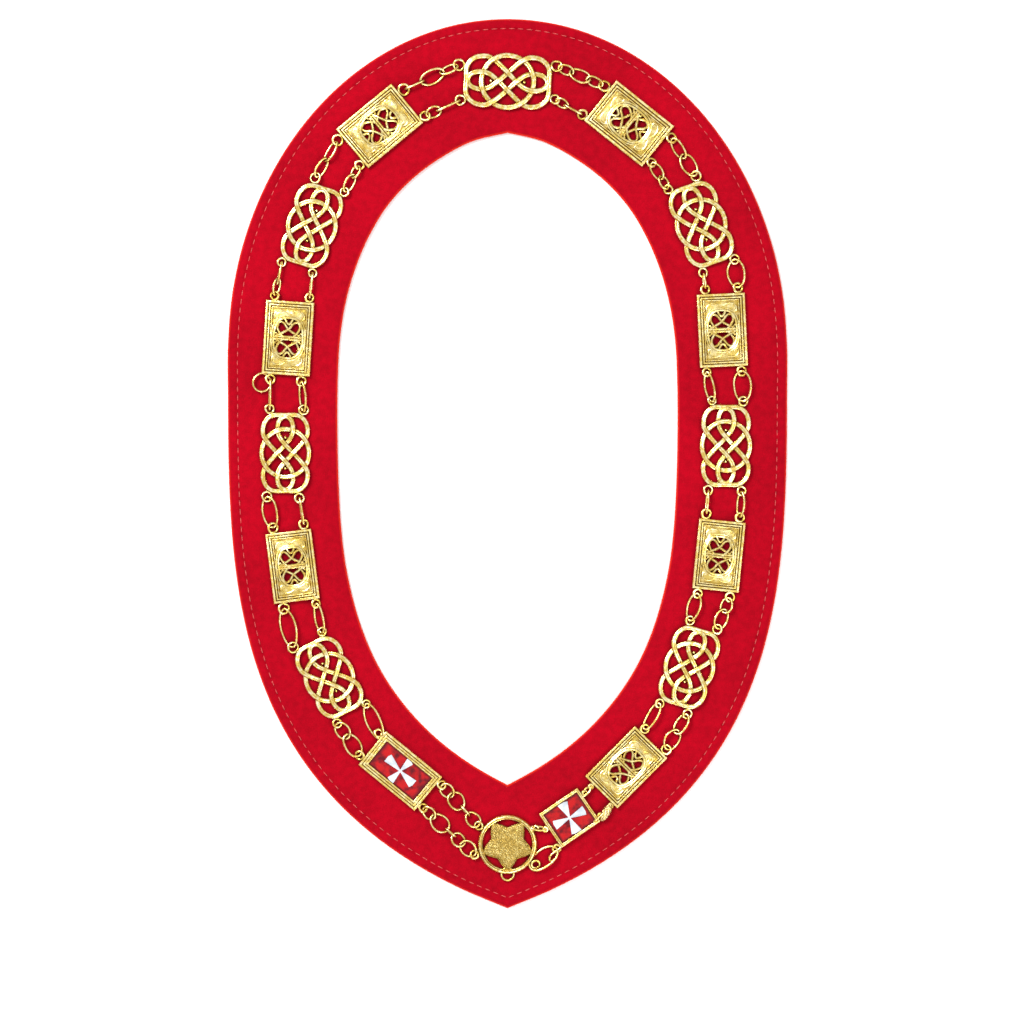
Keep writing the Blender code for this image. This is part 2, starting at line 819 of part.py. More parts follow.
def link_depth(first, second):
    """How far the ends of two links reach into each other when they just hold."""
    wanted = LINK_FUSE_SHARE * LINK_WIRE
    fixed = centreline(second, 0.0)
    depth = wanted
    while depth < first.half_length:
        if least_distance(fixed, centreline(first, depth - 2 * first.half_length)) >= wanted:
            break
        depth += HOOK_STEP
    return depth


def fitted_row(forms, length, lug_radius):
    """Links drawn out or shortened together until the row spans its two lugs.

    Returns the links and where each starts along the row.
    """
    scale = 1.0
    for _ in range(FIT_ROUNDS):
        links = [link_of(form, scale, (-1) ** number) for number, form in enumerate(forms)]
        first, last = (
            lug_radius - lug_depth(link, lug_radius, lug_lean(link)) for link in (links[0], links[-1])
        )
        depths = [link_depth(a, b) for a, b in zip(links, links[1:])]
        drawn = sum(2 * link.half_length for link in links)
        scale *= (length - first - last + sum(depths)) / drawn
    starts = [first]
    for link, depth in zip(links, depths):
        starts.append(starts[-1] + 2 * link.half_length - depth)
    return links, starts


def lug_lean(link):
    """A lug leans the other way than the link that it holds."""
    return -math.copysign(LUG_LEAN, link.lean)


def row_mesh(name, start, along, links, starts):
    """A row of links from one lug's middle to another's, fused into one body."""
    heading = math.atan2(along.y, along.x)
    shapes = []
    for link, place in zip(links, starts):
        mesh = ring_mesh(link.half_length, link.half_width, LINK_WIRE, LINK_SEGMENTS, LINK_SIDES)
        centre = start + along.normalized() * (place + link.half_length)
        shapes.append(leaning_ring(mesh, (*centre, link.height), heading, link.lean))
    even = joined(name, shapes[0::2])
    if len(shapes) == 1:
        return even
    return combined_mesh(name, even, joined(name, shapes[1::2]))


# Assembly


class Plaque:
    """A plaque in its place, with the lugs that it carries."""

    def __init__(self, stop, centre, angle):
        self.stop = stop
        self.centre = centre
        self.angle = angle
        self.lugs = []
        sizes = {
            "knot": (KNOT_LENGTH, KNOT_WIDTH),
            "scroll": (SCROLL_LENGTH, SCROLL_WIDTH),
            "long_cross": (CROSS_LENGTH, CROSS_WIDTH),
            "short_cross": (SHORT_CROSS_LENGTH, SHORT_CROSS_WIDTH),
            "medallion": (MEDALLION_DIAMETER, MEDALLION_DIAMETER),
        }
        length, width = sizes[stop.kind]
        self.length = length * stop.length
        self.width = width * stop.width

    def world(self, place):
        """A point of the plaque's own plane in the collar's."""
        return self.centre + Matrix.Rotation(self.angle, 2) @ place

    def lug_place(self, end, share, outward, diameter):
        """Where a lug sits on the plaque. end and outward are 1 or -1.

        share is its place across, in half widths, or its bearing in degrees on the medallion.
        """
        across = math.cos(math.pi / LUG_SEGMENTS) * math.cos(LUG_LEAN)
        reach = diameter / 2 * across - LUG_BITE
        if self.stop.kind == "medallion":
            bearing = math.radians(share)
            out = self.length / 2 + reach
            return Vector((out * math.cos(bearing), out * math.sin(bearing)))
        y = outward * share * self.width / 2
        if self.stop.kind == "knot":
            return Vector((end * knot_lug_x(self.length, self.width, abs(y), reach), y))
        return Vector((end * (self.length / 2 + reach), y))

    def add_lug(self, place, heading, lean, radius):
        """Sets a lug that opens towards a heading of the collar and leans about it."""
        self.lugs.append((place, heading - self.angle, lean, radius))

    def lug_meshes(self):
        """The lugs as meshes in the plaque's own plane."""
        meshes = []
        for place, heading, lean, radius in self.lugs:
            ring = ring_mesh(radius, radius, LUG_WIRE, LUG_SEGMENTS, LUG_SIDES)
            meshes.append(leaning_ring(ring, (*place, LUG_HEIGHT), heading, lean))
        return meshes

    def placed(self, mesh, name, collection, material):
        """An object with this mesh at the plaque's place."""
        mesh.name = name
        mesh.materials.clear()
        mesh.materials.append(material)
        obj = bpy.data.objects.new(name, mesh)
        obj.location = (*self.centre, METAL_REST)
        obj.rotation_euler = (0.0, 0.0, self.angle)
        collection.objects.link(obj)
        return obj

    def build(self, collection, finishes):
        """Builds the plaque's solids."""
        kind = self.stop.kind
        name = self.stop.name
        lugs = self.lug_meshes()
        gilt = finishes["gilt"]
        if kind == "knot":
            bands = knot_bands(self.length, self.width)
            body = combined_mesh(name, joined(name, bands), joined("lugs", lugs), with_itself=True)
            self.placed(body, name, collection, gilt)
        elif kind == "scroll":
            body = scroll_mesh(self.length, self.width)
            body = combined_mesh(name, body, joined("lugs", lugs))
            self.placed(body, name, collection, gilt)
        elif kind == "medallion":
            body, loop = medallion_mesh()
            body = combined_mesh(name, body, joined("lugs", [*lugs, loop]))
            self.placed(body, name, collection, gilt)
        else:
            frame_width = CROSS_FRAME_WIDTH if kind == "long_cross" else SHORT_CROSS_FRAME_WIDTH
            body = cross_plaque_mesh(self.length, self.width, frame_width)
            body = combined_mesh(name, body, joined("lugs", lugs))
            self.placed(body, name, collection, gilt)
            tray = (tray_half(self.length, frame_width), tray_half(self.width, frame_width))
            self.placed(enamel_field(*tray), name + "_red_enamel", collection, finishes["red"])
            self.placed(white_cross(*tray), name + "_white_cross", collection, finishes["white"])


def build_velvet(shape, collection, material):
    """The velvet collar: a flat band with a rounded hem, open for the neck."""
    curve = bpy.data.curves.new("velvet_collar", "CURVE")
    curve.dimensions = "2D"
    curve.fill_mode = "BOTH"
    curve.extrude = VELVET_THICKNESS / 2 - HEM_RADIUS
    curve.bevel_depth = HEM_RADIUS
    curve.bevel_resolution = 0
    curve.offset = -HEM_RADIUS
    for edge in (shape.outer, shape.inner):
        points = [tuple(place) for place in shape.thinned(edge, OUTLINE_POINTS)]
        points += [(-x, y) for x, y in reversed(points[1:-1])]
        spline = curve.splines.new("POLY")
        spline.points.add(len(points) - 1)
        spline.use_cyclic_u = True
        for point, (x, y) in zip(spline.points, points):
            point.co = (x, y, 0.0, 1.0)
    curve.materials.append(material)
    collar = bpy.data.objects.new("velvet_collar", curve)
    collar.location = (0.0, 0.0, VELVET_THICKNESS / 2)
    collection.objects.link(collar)


def placed_plaques(shape, stops, crown, side):
    """The plaques down one side, spread along the chain by their lengths and gaps."""
    tip = Plaque(stops[-1], Vector((0.0, shape.chain[-1][1] - MEDALLION_DROP)), 0.0)
    plaques = [Plaque(stop, Vector((0.0, 0.0)), 0.0) for stop in stops[:-1]]
    taken = crown.length / 2 + sum(plaque.length for plaque in plaques) + tip.length / 2
    free = shape.chain_travelled[-1] - taken
    whole = sum(stop.gap for stop in stops)
    travelled = crown.length / 2
    for plaque in plaques:
        travelled += free * plaque.stop.gap / whole + plaque.length / 2
        centre, angle = shape.chain_place(travelled, plaque.stop.across, side)
        plaque.centre = centre
        plaque.angle = angle + math.radians(plaque.stop.turn)
        travelled += plaque.length / 2
    return plaques, tip


def build_rows(side_name, side, plaques, collection, material):
    """The two chain rows of every gap down one side, and the lugs that hold them."""
    for number, (before, after) in enumerate(zip(plaques, plaques[1:]), start=1):
        stop = after.stop
        for slot, (row_name, outward, names) in enumerate(
            (("outer", 1, stop.outer), ("inner", -1, stop.inner))
        ):
            forms = [LINK_FORMS[name] for name in names.split()][::side]
            diameter = CLOSE_LUG_DIAMETER if "stub" in names else LUG_DIAMETER
            radius = (diameter - LUG_WIRE) / 2
            near = before.lug_place(side, stop.near[slot], outward, diameter)
            far = after.lug_place(-side, stop.far[slot], outward, diameter)
            ends = [(before, near), (after, far)][::side]
            start, end = (plaque.world(place) for plaque, place in ends)
            along = end - start
            links, starts = fitted_row(forms, along.length, radius)
            heading = math.atan2(along.y, along.x)
            for (plaque, place), link in zip(ends, (links[0], links[-1])):
                plaque.add_lug(place, heading, lug_lean(link), radius)
            name = f"chain_{side_name}_{number}_{row_name}"
            mesh = row_mesh(name, start, along, links, starts)
            mesh.materials.clear()
            mesh.materials.append(material)
            collection.objects.link(bpy.data.objects.new(name, mesh))


def main():
    """Builds the collar."""
    clear_scene()
    collection = new_collection("masonic_chain_collar")
    finishes = {
        "velvet": finish("velvet", (0.55, 0.01, 0.02), 0.95, 0.0),
        "gilt": finish("gilt", (0.86, 0.64, 0.20), 0.28, 1.0),
        "red": finish("red_enamel", (0.52, 0.01, 0.02), 0.20, 0.0),
        "white": finish("white_enamel", (0.80, 0.82, 0.86), 0.20, 0.0),
    }
    shape = CollarShape()
    build_velvet(shape, collection, finishes["velvet"])
    centre, _ = shape.chain_place(0.0, CROWN_KNOT.across, 1)
    crown = Plaque(CROWN_KNOT, centre, math.radians(CROWN_KNOT.turn))
    right, tip = placed_plaques(shape, RIGHT_SIDE, crown, 1)
    left, _ = placed_plaques(shape, LEFT_SIDE, crown, -1)
    left_tip = Plaque(LEFT_SIDE[-1], tip.centre, tip.angle)
    build_rows("right", 1, [crown, *right, tip], collection, finishes["gilt"])
    build_rows("left", -1, [crown, *left, left_tip], collection, finishes["gilt"])
    tip.lugs += left_tip.lugs
    for plaque in (crown, *right, *left, tip):
        plaque.build(collection, finishes)


main()
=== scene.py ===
"""Masonic chain collar: its finished surfaces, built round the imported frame.

A red velvet collar lies on its back. Two rows of gilt links run round it, between woven
knot plaques, pierced scroll plaques, enamelled cross plaques and a star medallion.
"""

import logging
import math
from dataclasses import dataclass
from enum import Enum
from typing import Callable, ClassVar, NamedTuple, Sequence

import bpy
import numpy as np
from mathutils import Matrix, Vector


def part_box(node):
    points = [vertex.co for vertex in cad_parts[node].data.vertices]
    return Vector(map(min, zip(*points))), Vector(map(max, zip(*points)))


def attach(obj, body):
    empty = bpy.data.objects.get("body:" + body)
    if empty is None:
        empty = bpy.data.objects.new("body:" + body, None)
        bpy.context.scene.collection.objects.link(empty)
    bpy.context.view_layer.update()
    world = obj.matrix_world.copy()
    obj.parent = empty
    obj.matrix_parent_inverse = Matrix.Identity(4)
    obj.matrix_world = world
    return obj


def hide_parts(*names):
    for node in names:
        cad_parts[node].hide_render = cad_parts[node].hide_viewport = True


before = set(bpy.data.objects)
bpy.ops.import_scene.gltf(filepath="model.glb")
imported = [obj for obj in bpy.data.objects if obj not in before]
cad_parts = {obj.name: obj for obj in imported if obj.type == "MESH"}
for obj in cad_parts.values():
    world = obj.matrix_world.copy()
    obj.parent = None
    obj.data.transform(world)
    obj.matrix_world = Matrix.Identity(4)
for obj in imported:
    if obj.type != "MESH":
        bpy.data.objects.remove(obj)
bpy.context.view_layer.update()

BODY = "root"
VELVET_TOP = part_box("velvet_collar")[1].z

# The photo: a pixel's real size on the collar, the pixel over the origin and the side
PIXEL = 0.0005843
PHOTO_ORIGIN = (507.5, 463.6)
PHOTO_SIDE = 1024

LOG = logging.getLogger("collar")

Color = tuple[float, float, float]
Shape = tuple[tuple[float, float], ...]
Piece = bpy.types.Object


class Slot(Enum):
    """The record's material slots."""

    VELVET = "velvet"
    GILT = "gilt"
    RED = "red_enamel"
    WHITE = "white_enamel"


def photo_point(x: float, y: float) -> Vector:
    """The place on the collar's plane that a pixel of the photo shows."""
    return Vector(((x - PHOTO_ORIGIN[0]) * PIXEL, (PHOTO_ORIGIN[1] - y) * PIXEL))


# Modelling by operator


def deselect() -> None:
    """Leaves nothing selected."""
    bpy.ops.object.select_all(action="DESELECT")


def choose(*objects: Piece) -> None:
    """Selects these objects alone, and makes the first one active.

    Args:
        objects: The objects.
    """
    deselect()
    for obj in objects:
        obj.select_set(True)
    bpy.context.view_layer.objects.active = objects[0]


def added(name: str) -> Piece:
    """Names the object that an operator has just added, and its data.

    Args:
        name: The new name.

    Returns:
        The object.
    """
    obj = bpy.context.object
    obj.name = name
    obj.data.name = name
    return obj


def select_faces(obj: Piece, wanted: Callable[[Vector, Vector], bool]) -> None:
    """Enters edit mode with only some faces selected.

    Args:
        obj: The mesh object.
        wanted: Says of a face's centre and normal whether it is selected.
    """
    choose(obj)
    bpy.ops.object.mode_set(mode="EDIT")
    bpy.ops.mesh.select_mode(type="FACE")
    bpy.ops.mesh.select_all(action="DESELECT")
    bpy.ops.object.mode_set(mode="OBJECT")
    for polygon in obj.data.polygons:
        polygon.select = wanted(polygon.center, polygon.normal)
    bpy.ops.object.mode_set(mode="EDIT")


def leave_edit_mode() -> None:
    """Back to object mode."""
    bpy.ops.object.mode_set(mode="OBJECT")


def modified(obj: Piece, kind: str, **settings: object) -> Piece:
    """Applies a modifier.

    Args:
        obj: The mesh object.
        kind: The modifier's type.
        settings: Its values.

    Returns:
        The same object.
    """
    choose(obj)
    modifier = obj.modifiers.new(kind.lower(), kind)
    for key, value in settings.items():
        setattr(modifier, key, value)
    bpy.ops.object.modifier_apply(modifier=modifier.name)
    return obj


def cleaned(obj: Piece, within: float = 1e-6) -> Piece:
    """Merges a mesh's doubles and turns its faces outwards.

    Args:
        obj: The mesh object.
        within: How near two points are when they count as one.

    Returns:
        The same object.
    """
    choose(obj)
    bpy.ops.object.mode_set(mode="EDIT")
    bpy.ops.mesh.select_all(action="SELECT")
    bpy.ops.mesh.remove_doubles(threshold=within)
    bpy.ops.mesh.normals_make_consistent(inside=False)
    leave_edit_mode()
    return obj


def united(name: str, objects: Sequence[Piece]) -> Piece:
    """Joins objects into one.

    Args:
        name: The name of the whole.
        objects: The objects, which it uses up.

    Returns:
        The joined object.
    """
    choose(*objects)
    if len(objects) > 1:
        bpy.ops.object.join()
    return added(name)


def smoothed(obj: Piece, angle: float = 35.0) -> Piece:
    """Shades an object smooth, but for edges sharper than an angle in degrees."""
    choose(obj)
    bpy.ops.object.shade_smooth_by_angle(angle=math.radians(angle))
    return obj


def poly_curve(name: str, points: np.ndarray, closed: bool) -> Piece:
    """A curve object of straight runs through points.

    Args:
        name: Its name.
        points: Rows of two or three coordinates.
        closed: Whether the last point joins the first.

    Returns:
        The curve object.
    """
    deselect()
    bpy.ops.curve.primitive_nurbs_path_add()
    obj = added(name)
    obj.data.splines.clear()
    spline = obj.data.splines.new("POLY")
    spline.points.add(len(points) - 1)
    spline.use_cyclic_u = closed
    for point, place in zip(spline.points, points):
        point.co = (*place, *(0.0,) * (3 - len(place)), 1.0)
    return obj


def swept(name: str, path: np.ndarray, section: np.ndarray, closed: bool) -> Piece:
    """A strand of one section along a path, its top kept upwards.

    Args:
        name: Its name.
        path: Points in space.
        section: Points of the section, across and up.
        closed: Whether the path is a ring.

    Returns:
        The mesh object.
    """
    profile = poly_curve("section", section, True)
    profile.data.dimensions = "2D"
    strand = poly_curve(name, path, closed)
    strand.data.dimensions = "3D"
    strand.data.twist_mode = "Z_UP"
    strand.data.bevel_mode = "OBJECT"
    strand.data.bevel_object = profile
    strand.data.use_fill_caps = not closed
    choose(strand)
    bpy.ops.object.convert(target="MESH")
    strand = added(name)
    bpy.data.objects.remove(profile, do_unlink=True)
    return cleaned(strand)


def circle(radius: float, count: int = 10, first: float = 0.0) -> np.ndarray:
    """The points of a circle, the first one some share of a step past +X."""
    angles = (np.arange(count) + first) * (2 * math.pi / count)
    return radius * np.stack([np.cos(angles), np.sin(angles)], axis=1)


def curved(points: np.ndarray, steps: int, closed: bool) -> np.ndarray:
    """A smooth line through chosen points.

    Args:
        points: The chosen points, in rows.
        steps: How many points it has for each of theirs.
        closed: Whether the line is a ring.

    Returns:
        The points of the smooth line.
    """
    points = np.asarray(points, float)
    if closed:
        padded = np.concatenate([points[-1:], points, points[:2]])
    else:
        padded = np.concatenate([2 * points[:1] - points[1:2], points, 2 * points[-1:] - points[-2:-1]])
    share = (np.arange(steps) / steps)[:, None]
    runs = []
    for a, b, c, d in zip(padded, padded[1:], padded[2:], padded[3:]):
        cubic = 2 * b + share * (c - a) + share**2 * (2 * a - 5 * b + 4 * c - d)
        runs.append(0.5 * (cubic + share**3 * (3 * b - a - 3 * c + d)))
    line = np.concatenate(runs)
    return line if closed else np.concatenate([line, points[-1:]])


def travelled(line: np.ndarray) -> np.ndarray:
    """Distance along a line at each of its points."""
    steps = np.linalg.norm(np.diff(line, axis=0), axis=1)
    return np.concatenate([[0.0], np.cumsum(steps)])


def evenly(line: np.ndarray, count: int) -> np.ndarray:
    """Points spaced evenly along a line, both ends among them."""
    along = travelled(line)
    wanted = np.linspace(0.0, along[-1], count)
    return np.stack([np.interp(wanted, along, column) for column in line.T], axis=1)


def closed_up(line: np.ndarray) -> np.ndarray:
    """A ring's points with the first one once more at the end."""
    return np.concatenate([line, line[:1]])


def spot_on(line: np.ndarray, along: np.ndarray, place: float) -> np.ndarray:
    """The point of a line at some distance along it."""
    return np.array([np.interp(place, along, axis) for axis in line.T])


def raised(line: np.ndarray, height: float | np.ndarray) -> np.ndarray:
    """A flat line lifted to one height, or to a height for each of its points."""
    return np.column_stack([line, np.broadcast_to(height, len(line))])


# Where the plaques lie


@dataclass(frozen=True)
class Seat:
    """A plaque's place in the frame.

    heading turns +X onto the plaque's long axis, on which + points to the crown. outward is
    1 if the collar's outer edge lies on the axis's left, and -1 if it lies on its right.
    """

    HEART: ClassVar[float] = 0.0190
    SWING: ClassVar[float] = 0.0010
    AXIS_STRIP: ClassVar[float] = 0.0025
    LUG_FREE: ClassVar[float] = 0.0004

    centre: Vector
    heading: float
    length: float
    width: float
    back: float

    @classmethod
    def of_plate(cls, node: str) -> "Seat":
        """The seat of a plaque whose back is a flat rectangle.

        Args:
            node: Its CAD node.

        Returns:
            The seat.
        """
        points = node_points(node)
        back = float(points[:, 2].min())
        low = points[points[:, 2] < back + cls.LUG_FREE][:, :2]
        spans = []
        for heading in np.radians(np.arange(0.0, 180.0, 0.1)):
            along, across = in_axes(low, heading)
            spans.append((np.ptp(along) * np.ptp(across), -np.ptp(along), heading))
        heading = min(spans)[2]
        along, across = in_axes(low, heading)
        if np.ptp(across) > np.ptp(along):
            heading += math.pi / 2
            along, across = in_axes(low, heading)
        middle = ((along.max() + along.min()) / 2, (across.max() + across.min()) / 2)
        centre = Matrix.Rotation(heading, 2) @ Vector(middle)
        return cls.upright(centre, heading, float(np.ptp(along)), float(np.ptp(across)), back)

    @classmethod
    def of_knot(cls, node: str) -> "Seat":
        """The seat of a knot plaque, found between its lugs.

        Args:
            node: Its CAD node.

        Returns:
            The seat.
        """
        points = node_points(node)
        flat = points[:, :2]
        centre = (flat.max(axis=0) + flat.min(axis=0)) / 2
        axis = np.linalg.eigh((flat - centre).T @ (flat - centre))[1][:, -1]
        heading = math.atan2(axis[1], axis[0])
        for _ in range(5):
            along, across = in_axes(flat - centre, heading)
            waist = (flat - centre)[np.abs(along) < cls.HEART]
            trials = heading + np.radians(np.arange(-12.0, 12.1, 0.1))
            widths = np.array([np.ptp(in_axes(waist, trial)[1]) for trial in trials])
            wide = widths > widths.min() + cls.SWING
            middle = int(widths.argmin())
            below, above = np.nonzero(wide[:middle])[0], np.nonzero(wide[middle:])[0] + middle
            heading = (trials[below[-1]] + trials[above[0]]) / 2
            along, across = in_axes(flat - centre, heading)
            ends = along[np.abs(across) < cls.AXIS_STRIP]
            sides = across[np.abs(along) < cls.HEART]
            shift = ((ends.max() + ends.min()) / 2, (sides.max() + sides.min()) / 2)
            centre = centre + np.array(Matrix.Rotation(heading, 2) @ Vector(shift))
        length, width = float(np.ptp(ends)), float(np.ptp(sides))
        return cls.upright(Vector(centre), heading, length, width, float(points[:, 2].min()))

    @classmethod
    def upright(cls, centre: Vector, heading: float, length: float, width: float, back: float) -> "Seat":
        """A seat with its heading turned towards the crown."""
        if math.sin(heading) < 0.0 or (abs(math.sin(heading)) < 0.1 and math.cos(heading) < 0.0):
            heading += math.pi
        return cls(Vector(centre), heading % (2 * math.pi), length, width, back)

    @property
    def outward(self) -> float:
        """On which side of the axis the collar's outer edge lies."""
        left = Vector((-math.sin(self.heading), math.cos(self.heading)))
        return math.copysign(1.0, left.dot(self.centre))

    def matrix(self) -> Matrix:
        """Takes a plaque made flat round the origin to its place."""
        return Matrix.Translation((*self.centre, self.back)) @ Matrix.Rotation(self.heading, 4, "Z")

    def point(self, along: float, across: float) -> Vector:
        """A point of the plaque's own plane in the collar's."""
        return self.centre + Matrix.Rotation(self.heading, 2) @ Vector((along, across))

    def local(self, place: Vector) -> Vector:
        """A point of the collar's plane in the plaque's own."""
        return Matrix.Rotation(-self.heading, 2) @ (place - self.centre)


def node_points(node: str) -> np.ndarray:
    """The vertices of a CAD node, in rows."""
    return np.array([vertex.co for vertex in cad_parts[node].data.vertices])


def in_axes(points: np.ndarray, heading: float) -> tuple[np.ndarray, np.ndarray]:
    """Coordinates along and across a heading."""
    axis = np.array([math.cos(heading), math.sin(heading)])
    return points @ axis, points @ np.array([-axis[1], axis[0]])


def copied(template: Piece, name: str, matrix: Matrix) -> Piece:
    """A copy of a template, with its place in its own mesh.

    Args:
        template: The object to copy.
        name: The copy's name.
        matrix: Takes the template to the copy's place.

    Returns:
        The copy.
    """
    choose(template)
    bpy.ops.object.duplicate(linked=False)
    copy = added(name)
    copy.data.transform(matrix)
    copy.data.update()
    return copy


def scattered(name: str, template: Piece, places: Sequence[Matrix]) -> Piece:
    """One mesh that holds a small template at many places, and uses the template up.

    Args:
        name: Its name.
        template: The object to repeat.
        places: A matrix for each copy.

    Returns:
        The joined object.
    """
    points = np.array([(*vertex.co, 1.0) for vertex in template.data.vertices])
    faces = [tuple(polygon.vertices) for polygon in template.data.polygons]
    all_points = np.concatenate([points @ np.array(place).T for place in places])[:, :3]
    all_faces = [
        tuple(index + number * len(points) for index in face)
        for number in range(len(places))
        for face in faces
    ]
    mesh = bpy.data.meshes.new(name)
    mesh.from_pydata(all_points.tolist(), [], all_faces)
    obj = bpy.data.objects.new(name, mesh)
    bpy.context.scene.collection.objects.link(obj)
    bpy.data.objects.remove(template, do_unlink=True)
    return obj


# Shader nodes


class Shader:
    """A node tree with short calls for the nodes that the finishes use."""

    def __init__(self, tree: bpy.types.NodeTree) -> None:
        """Takes the tree to build in."""
        self.tree = tree

    def fill(self, node: bpy.types.Node, links: dict) -> bpy.types.Node:
        """Sets a node's inputs.

        Args:
            node: The node.
            links: Values or sockets for its inputs, by name or number.

        Returns:
            The same node.
        """
        for key, value in links.items():
            if isinstance(value, bpy.types.NodeSocket):
                self.tree.links.new(value, node.inputs[key])
            else:
                node.inputs[key].default_value = value
        return node

    def node(self, kind: str, links: dict | None = None, **settings: object) -> bpy.types.Node:
        """Adds a node.

        Args:
            kind: Its type without the ShaderNode prefix.
            links: Values or sockets for its inputs, by name or number.
            settings: Its properties.

        Returns:
            The node.
        """
        made = self.tree.nodes.new("ShaderNode" + kind)
        for key, value in settings.items():
            setattr(made, key, value)
        return self.fill(made, links or {})

    def math(self, operation: str, *values: object) -> bpy.types.NodeSocket:
        """The result of a Math node on values or sockets."""
        return self.node("Math", dict(enumerate(values)), operation=operation).outputs[0]

    def ramp(self, value: object, low: float, high: float) -> bpy.types.NodeSocket:
        """0 below low, 1 above high and smooth between them."""
        links = {"Value": value, "From Min": low, "From Max": high}
        return self.node("MapRange", links, interpolation_type="SMOOTHSTEP").outputs[0]

    def mix(self, share: object, first: object, second: object) -> bpy.types.NodeSocket:
        """One colour faded into another."""
        colors = [(*value, 1.0) if isinstance(value, tuple) else value for value in (first, second)]
        return self.node("Mix", dict(zip((0, 6, 7), (share, *colors))), data_type="RGBA").outputs[2]

    def noise(self, place: object, scale: object, detail: float = 2.0) -> bpy.types.NodeSocket:
        """A noise of some scale, in waves per metre."""
        return self.node("TexNoise", {"Vector": place, "Scale": scale, "Detail": detail}).outputs[0]

    def place(self) -> bpy.types.NodeSocket:
        """The place on the collar, in metres."""
        return self.node("TexCoord").outputs["Object"]

    def split(self, kind: str = "UV") -> bpy.types.NodeOutputs:
        """The coordinates of one kind, each on its own."""
        return self.node("SeparateXYZ", {0: self.node("TexCoord").outputs[kind]}).outputs

    def bump(self, height: object, depth: float, strength: float) -> bpy.types.NodeSocket:
        """A normal bumped by a height."""
        links = {"Height": height, "Distance": depth, "Strength": strength}
        return self.node("Bump", links).outputs[0]

    def openness(self, reach: float, samples: int, alone: bool) -> bpy.types.NodeSocket:
        """How open a place is: 1 in the open and less in a hollow.

        Args:
            reach: How far off a surface still closes a place in.
            samples: How many rays are sent.
            alone: Whether only the piece itself counts.

        Returns:
            The share.
        """
        made = self.node("AmbientOcclusion", {"Distance": reach}, samples=samples, only_local=alone)
        return made.outputs["AO"]


def cast_grain_group() -> bpy.types.NodeTree:
    """The hammered skin of cast metal: a height, and a mask of its high places, where the gilt paints its
    highlight.

    Returns:
        The group, built on the first call.
    """
    found = bpy.data.node_groups.get("cast_grain")
    if found:
        return found
    tree = bpy.data.node_groups.new("cast_grain", "ShaderNodeTree")
    for label, kind in (("Place", "Vector"), ("Grain", "Float"), ("Pebble", "Float")):
        tree.interface.new_socket(label, in_out="INPUT", socket_type="NodeSocket" + kind)
    for label in ("Height", "High"):
        tree.interface.new_socket(label, in_out="OUTPUT", socket_type="NodeSocketFloat")
    takes = tree.nodes.new("NodeGroupInput").outputs
    shader = Shader(tree)
    fine = shader.noise(takes["Place"], takes["Grain"], 3.0)
    coarse = shader.noise(takes["Place"], 260.0, 1.0)
    apart = shader.node("TexVoronoi", {"Vector": takes["Place"], "Scale": 1250.0}).outputs["Distance"]
    skin = shader.math("MULTIPLY_ADD", fine, 0.6, shader.math("MULTIPLY", coarse, 0.4))
    pebbled = shader.math("MULTIPLY", shader.math("SUBTRACT", 1.0, apart), takes["Pebble"])
    between = shader.math("MULTIPLY", shader.ramp(apart, 0.25, 0.60), takes["Pebble"])
    # The high places: the mask for the gilt's painted highlight.
    high = shader.math("MULTIPLY", shader.ramp(skin, 0.42, 0.62), shader.math("SUBTRACT", 1.0, between))
    height = shader.math("ADD", skin, pebbled)
    shader.fill(tree.nodes.new("NodeGroupOutput"), {"Height": height, "High": high})
    return tree


# Finishes


@dataclass(frozen=True)
class Finish:
    """How a surface looks, and the record's slot that it belongs to."""

    name: str
    slot: Slot

    def look(self, shader: Shader) -> dict:
        """The inputs of the finish's surface, by name."""
        raise NotImplementedError

    def material(self) -> bpy.types.Material:
        """The finish as a material.

        Returns:
            The material, made on the first call.
        """
        found = bpy.data.materials.get(self.name)
        if found:
            return found
        made = bpy.data.materials.new(self.name)
        made.use_nodes = True
        shader = Shader(made.node_tree)
        shader.fill(made.node_tree.nodes["Principled BSDF"], self.look(shader))
        return made


@dataclass(frozen=True)
class GiltFinish(Finish):
    """Bright gilt: pale where it stands proud, with a painted highlight on its grain's high places, and
    brown patina deepened by painted shade on the low ground and in the hollows.
    """

    slot: Slot = Slot.GILT
    # The light colour is a painted highlight; the hollow and ground colours are brown patina deepened by
    # painted shade.
    light: Color = (0.98, 0.85, 0.42)
    middle: Color = (0.78, 0.57, 0.14)
    hollow_patina_and_shade: Color = (0.17, 0.075, 0.008)
    ground_patina_and_shade: Color = (0.56, 0.37, 0.05)
    ground_from: float = 0.0
    ground_to: float = 0.0001
    roughness: float = 0.27
    dullness: float = 0.22
    grain: float = 700.0
    pebble: float = 0.0
    relief: float = 0.00018
    hollow_reach: float = 0.0012

    def look(self, shader: Shader) -> dict:
        """The gilt's colour with its painted highlight and painted shade, gloss and grain.

        Args:
            shader: The finish's node tree.

        Returns:
            The surface's inputs, by name.
        """
        skin = {"Place": shader.place(), "Grain": self.grain, "Pebble": self.pebble}
        group = shader.node("Group", skin, node_tree=cast_grain_group())
        open_sky = shader.ramp(shader.openness(self.hollow_reach, 8, True), 0.50, 1.0)
        proud = shader.ramp(shader.split("Object")["Z"], self.ground_from, self.ground_to)
        # Painted highlight: the light colour laid on the grain's high places.
        bright = shader.mix(group.outputs["High"], self.middle, self.light)
        # Brown patina and painted shade on the low ground of the relief.
        bright = shader.mix(shader.math("MULTIPLY_ADD", proud, 0.75, 0.25), self.ground_patina_and_shade, bright)
        rough = self.roughness + self.dullness
        return {
            # Brown patina and painted shade in the hollows that close the piece in.
            "Base Color": shader.mix(open_sky, self.hollow_patina_and_shade, bright),
            "Roughness": shader.math("MULTIPLY_ADD", open_sky, -self.dullness, rough),
            "Normal": shader.bump(group.outputs["Height"], self.relief, 1.0),
            "Metallic": 1.0,
        }


